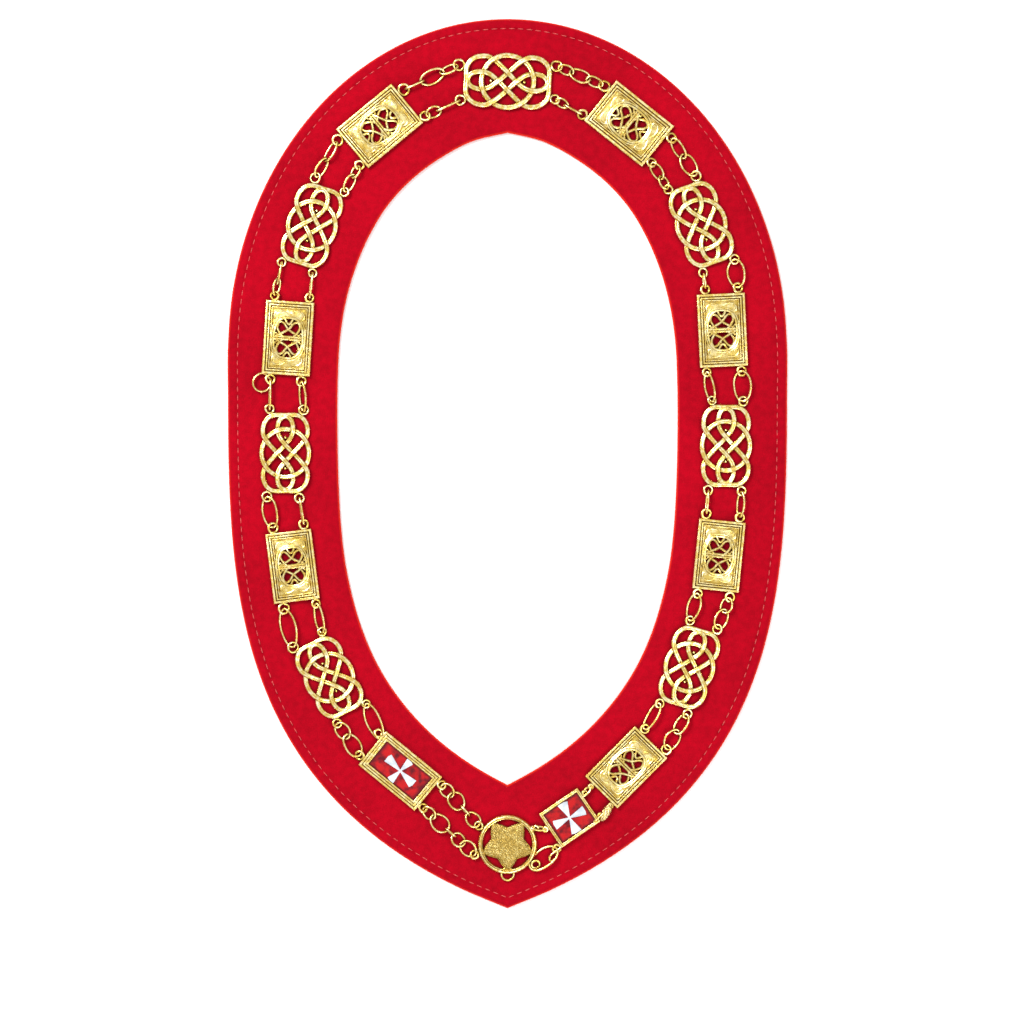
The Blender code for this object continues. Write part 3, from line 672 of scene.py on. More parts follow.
@dataclass(frozen=True)
class VelvetFinish(Finish):
    """Red cotton velvet with a dense short pile."""

    slot: Slot = Slot.VELVET
    deep: Color = (0.26, 0.001, 0.007)
    full: Color = (0.39, 0.001, 0.010)
    # Painted highlight: the bright rim where the pile at both edges catches the light.
    rim: Color = (0.80, 0.035, 0.012)
    shade: Color = (0.085, 0.002, 0.006)
    shade_reach: float = 0.0055
    patch_scale: float = 16.0
    pile_scale: float = 1500.0
    streak_scale: float = 260.0
    rim_highlight_share: float = 0.022

    def look(self, shader: Shader) -> dict:
        """The velvet's mottled red, with a painted highlight at the edges and painted shade under the
        metal.

        Args:
            shader: The finish's node tree.

        Returns:
            The surface's inputs, by name.
        """
        place = shader.place()
        patches = shader.ramp(shader.noise(place, self.patch_scale, 3.0), 0.38, 0.66)
        pile = shader.noise(place, self.pile_scale, 2.0)
        streaks = shader.noise(place, self.streak_scale, 4.0)
        mottled = shader.math("MULTIPLY_ADD", pile, 0.45, shader.math("MULTIPLY", streaks, 0.55))
        share = shader.math("MULTIPLY_ADD", patches, 0.45, shader.ramp(mottled, 0.34, 0.66))
        body = shader.mix(shader.math("MULTIPLY", share, 0.69), self.deep, self.full)
        # Painted highlight: a bright rim at both edges, where the pile catches the light.
        across = shader.split()["Y"]
        from_edge = shader.math("MINIMUM", across, shader.math("SUBTRACT", 1.0, across))
        edge = shader.math("SUBTRACT", 1.0, shader.ramp(from_edge, 0.0, self.rim_highlight_share))
        open_sky = shader.ramp(shader.openness(self.shade_reach, 16, False), 0.10, 0.95)
        shaded = shader.math("SUBTRACT", 1.0, open_sky)
        body = shader.mix(shader.math("MULTIPLY", shaded, 0.85), body, self.shade)
        return {
            "Base Color": shader.mix(shader.math("MULTIPLY", edge, 0.8), body, self.rim),
            "Normal": shader.bump(mottled, 0.0005, 0.8),
            "Roughness": 0.95,
            "Specular IOR Level": 0.04,
            "Sheen Weight": 0.30,
            "Sheen Roughness": 0.45,
            "Sheen Tint": (1.0, 0.10, 0.09, 1.0),
        }


@dataclass(frozen=True)
class EnamelFinish(Finish):
    """Glossy enamel, its colour deeper towards the edges of its field."""

    bright: Color
    # The deep colour serves both the enamel's own deep tone and painted shade in its hollows.
    deep_tone_and_shade: Color
    quarter_share: float = 0.0

    def look(self, shader: Shader) -> dict:
        """The enamel's clouded colour, with painted shade in its hollows, and its gloss.

        Args:
            shader: The finish's node tree.

        Returns:
            The surface's inputs, by name.
        """
        flat = shader.split()
        u, v = (shader.math("ABSOLUTE", flat[axis]) for axis in ("X", "Y"))
        inside = shader.math("SUBTRACT", 1.0, shader.ramp(shader.math("MAXIMUM", u, v), 0.82, 1.0))
        quarter = shader.ramp(shader.math("MULTIPLY", u, v), 0.02, 0.20)
        place = shader.place()
        cloud = shader.ramp(shader.noise(place, 210.0, 3.0), 0.3, 0.6)
        filled = shader.math("MULTIPLY_ADD", quarter, self.quarter_share, 1.0 - self.quarter_share)
        share = shader.math("MULTIPLY", shader.math("MULTIPLY", filled, inside), cloud)
        # Painted shade: the colour deepens where the piece's own hollows close it in.
        open_sky = shader.ramp(shader.openness(0.0012, 8, True), 0.4, 0.95)
        return {
            "Base Color": shader.mix(shader.math("MULTIPLY", share, open_sky), self.deep_tone_and_shade, self.bright),
            "Normal": shader.bump(shader.noise(place, 420.0), 0.00012, 0.6),
            "Roughness": 0.30,
            "Specular IOR Level": 0.20,
            "Coat Weight": 0.10,
        }


@dataclass(frozen=True)
class ThreadFinish(Finish):
    """Sewing thread, twisted, a little paler than the velvet."""

    slot: Slot = Slot.VELVET
    color: Color = (0.72, 0.09, 0.08)
    shade: Color = (0.42, 0.01, 0.015)

    def look(self, shader: Shader) -> dict:
        """The thread's colour, light and dark along its twist.

        Args:
            shader: The finish's node tree.

        Returns:
            The surface's inputs, by name.
        """
        twist = shader.noise(shader.place(), 2600.0)
        return {
            "Base Color": shader.mix(shader.ramp(twist, 0.35, 0.65), self.shade, self.color),
            "Normal": shader.bump(twist, 0.0002, 0.8),
            "Roughness": 0.6,
            "Sheen Weight": 0.3,
        }


VELVET = VelvetFinish("red_velvet")
THREAD = ThreadFinish("stitch_thread")
CAST_GILT = GiltFinish("cast_gilt", ground_from=0.0050, ground_to=0.0059, grain=620.0, relief=0.00030)
KNOT_GILT = GiltFinish("knot_gilt", light=(1.0, 0.90, 0.52), grain=520.0, relief=0.00010, roughness=0.22)
WIRE_GILT = GiltFinish("wire_gilt", middle=(0.70, 0.48, 0.12), grain=900.0, relief=0.00010, roughness=0.22)
PEBBLED_GILT = GiltFinish(
    "pebbled_gilt", light=(0.62, 0.52, 0.21), middle=(0.32, 0.21, 0.045),
    grain=1100.0, pebble=0.9, relief=0.00030, roughness=0.36,
)
SOLDER = GiltFinish(
    "solder_gilt", light=(1.0, 0.94, 0.66), middle=(0.72, 0.56, 0.22),
    grain=1100.0, pebble=0.9, relief=0.00030,
)
RED_GLAZE = EnamelFinish("red_glaze", Slot.RED, (0.42, 0.004, 0.006), (0.09, 0.001, 0.006), 0.35)
WHITE_GLAZE = EnamelFinish("white_glaze", Slot.WHITE, (0.62, 0.66, 0.72), (0.44, 0.48, 0.54))


def finish_piece(obj: Piece, finish: Finish, *nodes: str) -> Piece:
    """Dresses a finished piece and ties it to the frame.

    Args:
        obj: The piece.
        finish: Its finish.
        nodes: The CAD nodes that it stands for.

    Returns:
        The same piece.
    """
    obj.data.materials.clear()
    obj.data.materials.append(finish.material())
    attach(obj, BODY)
    if nodes:
        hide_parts(*nodes)
    LOG.info("%s: %d faces, rides on %s", obj.name, len(obj.data.polygons), BODY)
    return obj


# The velvet collar


class SectionPoint(NamedTuple):
    """A point of the band's section.

    share is its place across the band: 0 at the outer edge and 1 at the inner edge. edge is
    how far in from the nearer edge it is moved beyond that, and height how far up, in metres.
    """

    share: float
    edge: float
    height: float


@dataclass
class VelvetCollar:
    """The velvet band: a padded roll outside the stitch line, and a flat field inside it.

    Its loose hairs are so many that their number would fill an edge as long as hairs_span.
    """

    stations: int = 1240
    edge_steps: int = 24
    usual_width: float = 0.064
    stitch_inset: float = 0.0058
    stitch_pitch: float = 0.0052
    stitch_length: float = 0.0035
    stitch_thickness: float = 0.00050
    stitch_rise: float = 0.45
    pucker: float = 0.00022
    wave: float = 0.00014
    cross_wave: float = 45.0
    cross_lean: float = 9.0
    seam_width: float = 0.0016
    side_height: float = 0.0020
    hairs: int = 5200
    hairs_span: float = 2.4
    hair_length: float = 0.0007
    hair_thickness: float = 0.00012
    hair_root: float = 0.0002
    hair_spread: float = 0.35
    hair_heights: tuple[float, float] = (0.0010, 0.0026)
    hair_lifts: tuple[float, float] = (-0.2, 0.9)
    hair_shares: tuple[float, float] = (0.4, 1.1)
    seed: int = 7

    SWELLS: ClassVar[Shape] = ((71.0, 0.0), (113.0, 1.3), (187.0, 0.4))
    SECTION: ClassVar[tuple[SectionPoint, ...]] = (
        SectionPoint(0.0, 0.0000, 0.0016),
        SectionPoint(0.0, 0.0003, 0.0024),
        SectionPoint(0.0, 0.0009, 0.0030),
        SectionPoint(0.0, 0.0019, 0.0034),
        SectionPoint(0.0, 0.0032, 0.0035),
        SectionPoint(0.0, 0.0045, 0.0033),
        SectionPoint(0.0, 0.0053, 0.0029),
        SectionPoint(0.0, 0.0058, 0.0026),
        SectionPoint(0.0, 0.0063, 0.0029),
        SectionPoint(0.0, 0.0075, 0.0032),
        SectionPoint(0.20, 0.0, 0.0034),
        SectionPoint(0.32, 0.0, 0.0034),
        SectionPoint(0.44, 0.0, 0.0034),
        SectionPoint(0.56, 0.0, 0.0034),
        SectionPoint(0.68, 0.0, 0.0034),
        SectionPoint(0.80, 0.0, 0.0034),
        SectionPoint(0.90, 0.0, 0.0034),
        SectionPoint(1.0, 0.0030, 0.0033),
        SectionPoint(1.0, 0.0014, 0.0031),
        SectionPoint(1.0, 0.0005, 0.0026),
        SectionPoint(1.0, 0.0000, 0.0017),
        SectionPoint(1.0, 0.0003, 0.0007),
        SectionPoint(1.0, 0.0011, 0.0001),
        SectionPoint(1.0, 0.0030, 0.0),
        SectionPoint(0.75, 0.0, 0.0),
        SectionPoint(0.50, 0.0, 0.0),
        SectionPoint(0.25, 0.0, 0.0),
        SectionPoint(0.0, 0.0030, 0.0),
        SectionPoint(0.0, 0.0011, 0.0001),
        SectionPoint(0.0, 0.0003, 0.0007),
    )

    def half_edge(self, outside: bool) -> np.ndarray:
        """One half of an edge of the CAD band, from the crown to the tip.

        Args:
            outside: Whether it is the outer edge or the neck opening's.

        Returns:
            A smooth line on the side of +X.
        """
        found = set()
        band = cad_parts["velvet_collar"].data
        for polygon in band.polygons:
            normal = polygon.normal
            faces_out = normal.x * polygon.center.x + normal.y * polygon.center.y > 0.0
            if abs(normal.z) < 0.1 and faces_out == outside:
                for index in polygon.vertices:
                    place = band.vertices[index].co
                    if place.x > -1e-5:
                        found.add((round(max(place.x, 0.0), 6), round(place.y, 6)))
        points = np.array(sorted(found, key=lambda place: math.atan2(place[0], place[1])))
        apart = np.linalg.norm(np.diff(points, axis=0), axis=1) > 1e-4
        points = points[np.concatenate([[True], apart])]
        if not outside:
            return curved(points, self.edge_steps, False)
        whole = np.concatenate([points[2:0:-1] * (-1.0, 1.0), points])
        return curved(whole, self.edge_steps, False)[2 * self.edge_steps :]

    def edges(self) -> tuple[np.ndarray, np.ndarray]:
        """The outer and the inner edge all round, anticlockwise from the tip.

        Returns:
            Two arrays with a row for each station.
        """
        half = self.stations // 2 + 1
        rings = []
        for outside in (True, False):
            line = evenly(self.half_edge(outside), half)[::-1]
            rings.append(np.concatenate([line[:-1], (line[::-1] * (-1.0, 1.0))[:-1]]))
        return rings[0], rings[1]

    def band_points(self, outer: np.ndarray, inner: np.ndarray) -> np.ndarray:
        """Every point of the band, station by station.

        Args:
            outer: The outer edge.
            inner: The inner edge.

        Returns:
            An array of stations by section points by coordinates.
        """
        along = travelled(closed_up(outer))[:-1]
        across = inner - outer
        width = np.linalg.norm(across, axis=1)
        tangent = np.roll(outer, -1, axis=0) - np.roll(outer, 1, axis=0)
        tangent /= np.linalg.norm(tangent, axis=1)[:, None]
        square = np.abs(tangent[:, 0] * across[:, 1] - tangent[:, 1] * across[:, 0]) / width
        beat = np.cos(2 * math.pi * along / self.stitch_pitch)
        swell = sum(np.sin(along * pace + shift) for pace, shift in self.SWELLS)
        columns = []
        for point in self.SECTION:
            inset = point.edge / (width * square)
            share = point.share + np.where(point.share < 0.5, inset, -inset)
            place = outer + across * share[:, None]
            height = np.full(len(outer), point.height)
            if point.height > self.side_height:
                near_seam = math.exp(-(((point.edge - self.stitch_inset) / self.seam_width) ** 2))
                seam = near_seam if point.share == 0.0 else 0.0
                height += self.pucker * seam * beat + self.wave * swell / len(self.SWELLS)
                height += self.wave * np.sin(along * self.cross_wave + self.cross_lean * share)
            columns.append(raised(place, height))
        return np.stack(columns, axis=1)

    def build(self) -> Piece:
        """Models the band.

        Returns:
            The piece.
        """
        outer, inner = self.edges()
        ring = closed_up(self.band_points(outer, inner))
        tube = np.concatenate([ring, ring[:, :1]], axis=1).transpose(1, 0, 2)
        bpy.ops.mesh.primitive_grid_add(
            x_subdivisions=self.stations, y_subdivisions=len(self.SECTION), calc_uvs=True
        )
        band = added("velvet_band")
        band.data.vertices.foreach_set("co", tube.reshape(-1))
        self.map_across(band)
        smoothed(cleaned(band, 1e-7), 60.0)
        finish_piece(band, VELVET, "velvet_collar")
        return band

    def map_across(self, band: Piece) -> None:
        """Gives the band a UV map: along the band, and across it from edge to edge.

        Args:
            band: The band, still as the grid was made.
        """
        shares = []
        for point in self.SECTION:
            offset = point.edge / self.usual_width
            shares.append(point.share + (offset if point.share < 0.5 else -offset))
        index = np.empty(len(band.data.loops), np.int32)
        band.data.loops.foreach_get("vertex_index", index)
        column, station = np.divmod(index, self.stations + 1)
        uv = np.stack([station / self.stations, np.array([*shares, shares[0]])[column]], axis=1)
        band.data.uv_layers.active.data.foreach_set("uv", uv.astype(np.float32).reshape(-1))

    def build_stitches(self) -> Piece:
        """Lays a row of stitches in the groove inside the outer edge.

        Returns:
            The piece.
        """
        column = next(n for n, p in enumerate(self.SECTION) if p.edge == self.stitch_inset)
        line = closed_up(self.band_points(*self.edges())[:, column])
        along = travelled(line)
        count = round(along[-1] / self.stitch_pitch)
        bpy.ops.mesh.primitive_uv_sphere_add(segments=8, ring_count=6, radius=0.5)
        stitch = added("stitch")
        size = (self.stitch_length, self.stitch_thickness, self.stitch_thickness)
        stitch.data.transform(Matrix.Diagonal((*size, 1.0)))
        places = []
        for number in range(count):
            middle = (number + 0.5) * along[-1] / count
            run = spot_on(line, along, middle + self.stitch_length / 3)
            run -= spot_on(line, along, middle - self.stitch_length / 3)
            turn = Matrix.Rotation(math.atan2(run[1], run[0]), 4, "Z")
            lift = Vector((0.0, 0.0, self.stitch_thickness * self.stitch_rise))
            places.append(Matrix.Translation(Vector(spot_on(line, along, middle)) + lift) @ turn)
        stitches = scattered("velvet_stitches", stitch, places)
        return finish_piece(smoothed(stitches, 60.0), THREAD)

    def build_fuzz(self) -> Piece:
        """Sets loose ends of pile along both edges.

        Returns:
            The piece.
        """
        rng = np.random.default_rng(self.seed)
        bpy.ops.mesh.primitive_cone_add(vertices=3, radius1=0.5, depth=1.0, location=(0, 0, 0.5))
        hair = added("hair")
        bpy.ops.object.transform_apply(location=True)
        places = []
        for edge, inward in zip(self.edges(), (False, True)):
            ring = closed_up(edge)
            along = travelled(ring)
            for spot in rng.uniform(0.0, along[-1], int(self.hairs * along[-1] / self.hairs_span)):
                a, b = (spot_on(ring, along, place % along[-1]) for place in (spot, spot + 0.001))
                side = Vector((b[1] - a[1], a[0] - b[0], 0.0)).normalized()
                side = -side if inward else side
                lift = Vector((*rng.normal(0.0, self.hair_spread, 2), rng.uniform(*self.hair_lifts)))
                way = (side + lift).normalized().to_track_quat("Z", "Y").to_matrix().to_4x4()
                length = self.hair_length * rng.uniform(*self.hair_shares)
                size = Matrix.Diagonal((self.hair_thickness, self.hair_thickness, length, 1.0))
                root = Vector((a[0], a[1], rng.uniform(*self.hair_heights))) - side * self.hair_root
                places.append(Matrix.Translation(root) @ way @ size)
        return finish_piece(scattered("velvet_edge_pile", hair, places), VELVET)


# The knot plaques


@dataclass
class Casting:
    """A cast plaque that is modelled once and set in many seats."""

    length: float
    width: float
    shade_angle: float

    def build(
        self, node: str, seat: Seat, template: Piece,
        lugs: Sequence[Piece], finish: Finish,
    ) -> Piece:
        """Sets a copy of the plaque in its seat, with its lugs.

        Args:
            node: The CAD node that it stands for.
            seat: Its seat.
            template: The plaque to copy.
            lugs: Its lugs, in place.
            finish: Its finish.

        Returns:
            The piece.
        """
        stretch = Matrix.Diagonal((seat.length / self.length, seat.width / self.width, 1.0, 1.0))
        body = copied(template, node, seat.matrix() @ stretch)
        piece = smoothed(united(f"{node}_cast", [body, *lugs]), self.shade_angle)
        return finish_piece(piece, finish, node)


class LoopPoint(NamedTuple):
    """A point of the knot's figure of eight, in half lengths and half widths."""

    along: float
    across: float


@dataclass
class Knots(Casting):
    """The knot plaques: a ring and two figures of eight, woven over and under."""

    length: float = 0.0482
    width: float = 0.0316
    shade_angle: float = 40.0
    strand_width: float = 0.0030
    strand_height: float = 0.0021
    weave: float = 0.00052
    groove: float = 0.00024
    smoothness: int = 9
    ring_points: int = 110
    pin_radius: float = 0.0009
    pin_share: float = 0.19
    pin_sink: float = 0.45

    LOOP: ClassVar[tuple[LoopPoint, ...]] = (
        LoopPoint(1.00, 0.00),
        LoopPoint(0.985, 0.56),
        LoopPoint(0.80, 0.87),
        LoopPoint(0.52, 0.94),
        LoopPoint(0.30, 0.76),
        LoopPoint(0.03, 0.38),
        LoopPoint(-0.22, 0.00),
        LoopPoint(-0.44, -0.26),
        LoopPoint(-0.675, -0.33),
        LoopPoint(-0.88, -0.23),
        LoopPoint(-0.965, 0.00),
    )

    def strands(self) -> list[np.ndarray]:
        """The three strands as flat closed lines.

        Returns:
            The two figures of eight, then the ring.
        """
        half = np.array([(self.length - self.strand_width) / 2, (self.width - self.strand_width) / 2])
        upper = np.array(self.LOOP)
        lower = upper[-2:0:-1] * (1.0, -1.0)
        eight = curved(np.concatenate([upper, lower]) * half, self.smoothness, True)
        return [eight, -eight, circle(half[1], self.ring_points, 0.5)]

    @staticmethod
    def crossings(strands: list[np.ndarray]) -> list[list[float]]:
        """Finds where each strand crosses another or itself.

        Args:
            strands: Closed flat lines.

        Returns:
            The places on each strand in their order, counted in points.
        """
        places: list[list[float]] = [[] for _ in strands]
        for first, a in enumerate(strands):
            for second, b in enumerate(strands[first:], start=first):
                run_a, run_b = np.roll(a, -1, axis=0) - a, np.roll(b, -1, axis=0) - b
                offset = b[None] - a[:, None]
                area = run_a[:, None, 0] * run_b[None, :, 1] - run_a[:, None, 1] * run_b[None, :, 0]
                area = np.where(np.abs(area) < 1e-14, np.nan, area)
                here = (offset[..., 0] * run_b[None, :, 1] - offset[..., 1] * run_b[None, :, 0]) / area
                there = (offset[..., 0] * run_a[:, None, 1] - offset[..., 1] * run_a[:, None, 0]) / area
                hit = (here >= 0) & (here < 1) & (there >= 0) & (there < 1)
                for i, j in zip(*np.nonzero(hit)):
                    if first != second or (i < j and 1 < (j - i) % len(a) < len(a) - 1):
                        places[first].append(i + here[i, j])
                        places[second].append(j + there[i, j])
        return [sorted(line) for line in places]

    def heights(self, strands: list[np.ndarray]) -> list[np.ndarray]:
        """The weave: each strand rises over one crossing and dips under the next.

        Args:
            strands: Closed flat lines, which each start before a crossing that they go over.

        Returns:
            A height for each point of each line.
        """
        waves = []
        for line, places in zip(strands, self.crossings(strands)):
            around = [places[-1] - len(line), *places, places[0] + len(line)]
            levels = (-1.0) ** np.arange(-1, len(places) + 1)
            straight = np.interp(np.arange(len(line)), around, levels)
            waves.append(self.weave * np.sin(straight * math.pi / 2))
        return waves

    def section(self) -> np.ndarray:
        """A flat strand with rounded shoulders and a fine groove down its middle.

        Returns:
            The section's points, across and up.
        """
        w, h = self.strand_width / 2, self.strand_height / 2
        half = [
            (0.0, h - self.groove),
            (0.22 * w, h - 0.4 * self.groove),
            (0.45 * w, h),
            (0.74 * w, 0.86 * h),
            (0.94 * w, 0.45 * h),
            (w, -0.1 * h),
            (0.96 * w, -h),
        ]
        return np.array(half[::-1] + [(-x, y) for x, y in half[1:]])

    def template(self) -> Piece:
        """The knot without lugs, flat round the origin with its back at height 0.

        Returns:
            The mesh object.
        """
        strands = self.strands()
        middle = self.strand_height / 2 + self.weave
        pieces = []
        for line, wave in zip(strands, self.heights(strands)):
            pieces.append(swept("strand", raised(line, middle + wave), self.section(), True))
        for end in (-1.0, 1.0):
            place = (end * self.pin_share * self.length, 0.0, self.pin_sink * self.strand_height)
            bpy.ops.mesh.primitive_uv_sphere_add(
                segments=12, ring_count=8, radius=self.pin_radius, location=place
            )
            bpy.ops.object.transform_apply(location=True)
            pieces.append(added("pin"))
        return united("knot_template", pieces)

    def lug_reach(self, seat: Seat, across: float, reach: float) -> float:
        """How far from the knot's middle a lug's middle sits at its end.

        Args:
            seat: The knot's seat.
            across: The lug's distance from the long axis.
            reach: From the lug's middle to where it is soldered on.

        Returns:
            The distance along the long axis.
        """
        stretch = np.array([seat.length / self.length, seat.width / self.width])
        dense = np.concatenate(self.strands()) * stretch
        place = seat.length / 2 + 2 * reach
        while np.linalg.norm(dense - (place, across), axis=1).min() > reach + self.strand_width / 2:
            place -= 0.00005
        return place


# The plates


class FrameStep(NamedTuple):
    """A step of a moulded frame, in metres: how far in, and how far up."""

    inset: float
    rise: float


def moulded_plate(
    name: str, length: float, width: float, thickness: float, steps: Sequence[FrameStep]
) -> Piece:
    """A rectangular plate whose top is stepped inwards, its back at height 0.

    Args:
        name: Its name.
        length: Its size along X.
        width: Its size along Y.
        thickness: Its height at the rim.
        steps: The steps, from the rim inwards.

    Returns:
        The mesh object.
    """
    bpy.ops.mesh.primitive_cube_add(size=1.0)
    plate = added(name)
    plate.data.transform(
        Matrix.Translation((0.0, 0.0, thickness / 2)) @ Matrix.Diagonal((length, width, thickness, 1.0))
    )
    select_faces(plate, lambda centre, normal: normal.z > 0.5)
    for step in steps:
        bpy.ops.mesh.inset(thickness=step.inset, depth=0.0)
        bpy.ops.transform.translate(value=(0.0, 0.0, step.rise))
    leave_edit_mode()
    return plate


def rounded_edges(obj: Piece, width: float) -> Piece:
    """Rounds an object's edges by a bevel."""
    return modified(
        obj, "BEVEL", width=width, segments=2, limit_method="ANGLE", angle_limit=math.radians(20.0)
    )


@dataclass
class Scrolls(Casting):
    """The scroll plaques: a hammered frame round two windows filled with tracery."""

    length: float = 0.0425
    width: float = 0.0282
    shade_angle: float = 32.0
    thickness: float = 0.0023
    window_length: float = 0.0228
    window_width: float = 0.0166
    squareness: float = 2.6
    bar_gap: float = 0.0014
    wire: float = 0.00078
    rim_wire: float = 0.00075
    dome: float = 0.0008
    weave: float = 0.00022
    ground_height: float = 0.00215
    spandrel_wire: float = 0.00050
    collar_inset: float = 0.0014
    bar_lift: float = 0.0002
    rim_outset: float = 0.0002
    rim_drop: float = 0.0003
    edge_round: float = 0.00016

    STEPS: ClassVar[tuple[FrameStep, ...]] = (
        FrameStep(0.00035, 0.00050),
        FrameStep(0.00110, 0.0),
        FrameStep(0.00025, -0.00075),
        FrameStep(0.00025, 0.0),
        FrameStep(0.00025, 0.00065),
        FrameStep(0.00075, 0.0),
        FrameStep(0.00025, -0.00075),
        FrameStep(0.00022, 0.0),
        FrameStep(0.00025, 0.00055),
        FrameStep(0.00045, 0.0),
        FrameStep(0.00030, -0.00060),
        FrameStep(0.00060, 0.0),
        FrameStep(0.00150, 0.00045),
    )
    LEAF: ClassVar[Shape] = (
        (-0.86, 0.10),
        (-0.46, 0.24),
        (0.00, 0.44),
        (0.34, 0.74),
        (0.64, 0.80),
        (0.80, 0.56),
        (0.64, 0.28),
        (0.36, 0.06),
    )
    BUD: ClassVar[Shape] = (
        (-0.30, 0.98),
        (-0.10, 0.74),
        (0.10, 0.74),
        (0.30, 0.98),
    )
    SHOULDER: ClassVar[Shape] = ((0.98, 0.26), (0.84, 0.22), (0.70, 0.06))
    SPANDREL: ClassVar[Shape] = (
        (0.10, 1.24),
        (0.42, 1.34),
        (0.78, 1.34),
        (1.02, 1.20),
        (1.03, 0.98),
        (0.86, 0.96),
        (0.80, 1.10),
    )

    def window(self, count: int, inset: float = 0.0) -> np.ndarray:
        """The outline of the window, a square-shouldered oval.

        Args:
            count: How many points it has.
            inset: How far inside the window's own edge it runs.

        Returns:
            The points, in rows.
        """
        bow = 2.0 / self.squareness
        cos, sin = circle(1.0, count).T
        x = (self.window_length / 2 - inset) * np.copysign(np.abs(cos) ** bow, cos)
        y = (self.window_width / 2 - inset) * np.copysign(np.abs(sin) ** bow, sin)
        return np.stack([x, y], axis=1)

    def laid(self, shape: Shape, side: float, end: float) -> np.ndarray:
        """A wire's smooth line in the window.

        Args:
            shape: Its points, in half widths of the window and half lengths.
            side: 1 or -1, the side of the long axis.
            end: 1 or -1, the end of the window.

        Returns:
            Its points, in half widths and half lengths.
        """
        return curved(np.array(shape) * (side, 1.0), 7, False) * (1.0, end)

    def in_window(self, line: np.ndarray, height: float | np.ndarray) -> np.ndarray:
        """A line given in half widths and half lengths, as places on the plaque."""
        size = (self.window_length / 2, self.window_width / 2)
        return raised(line[:, ::-1] * (1.0, -1.0) * size, height)

    def tracery(self) -> list[Piece]:
        """The scrolls, bars and rim that fill the window.

        Returns:
            The mesh objects.
        """
        height = self.thickness - self.wire
        wire, fine = circle(self.wire), circle(self.spandrel_wire, 8)
        ends = (1, -1)
        pair = (self.LEAF, self.SHOULDER)
        curls = [(end, side, shape) for end in ends for side in ends for shape in pair]
        curls += [(end, 1, self.BUD) for end in ends]
        pieces = []
        for end, side, shape in curls:
            line = self.laid(shape, side, end)
            dome = self.dome * (1 - line[:, 0] ** 2) * (1 - line[:, 1] ** 2)
            weave = self.weave * side * end * np.sin(np.linspace(0.0, 3 * math.pi, len(line)))
            pieces.append(swept("scroll", self.in_window(line, height + dome + weave), wire, False))
        for side in (-1.0, 1.0):
            flat = np.array([(side * self.bar_gap / 2, end * self.window_width / 2) for end in (-1, 0, 1)])
            bar = raised(flat, height + self.bar_lift)
            bar[1, 2] += self.dome
            pieces.append(swept("bar", bar, wire, False))
        for side, end in ((1, 1), (-1, 1), (1, -1), (-1, -1)):
            line = self.laid(self.SPANDREL, side, end)
            pieces.append(swept("spandrel", self.in_window(line, self.ground_height), fine, False))
        collar = raised(self.window(72, -self.collar_inset), self.ground_height)
        pieces.append(swept("collar", collar, fine, True))
        rim = raised(self.window(72, -self.rim_outset), self.thickness - self.rim_drop)
        pieces.append(swept("rim", rim, circle(self.rim_wire, 8), True))
        return pieces

    def template(self) -> Piece:
        """The plaque without lugs, flat round the origin with its back at height 0.

        Returns:
            The mesh object.
        """
        plate = moulded_plate("scroll_plate", self.length, self.width, self.thickness, self.STEPS)
        rounded_edges(plate, self.edge_round)
        cutter = poly_curve("window", self.window(72), True)
        cutter.data.dimensions = "2D"
        cutter.data.fill_mode = "BOTH"
        cutter.data.extrude = 2 * self.thickness
        choose(cutter)
        bpy.ops.object.convert(target="MESH")
        cutter = cleaned(added("window"))
        modified(plate, "BOOLEAN", operation="DIFFERENCE", solver="EXACT", object=cutter)
        bpy.data.objects.remove(cutter, do_unlink=True)
        return united("scroll_template", [plate, *self.tracery()])


class ArmShape(NamedTuple):
    """An arm of a white cross, in metres: how far it reaches and half its end's width."""

    reach: float
    flare: float


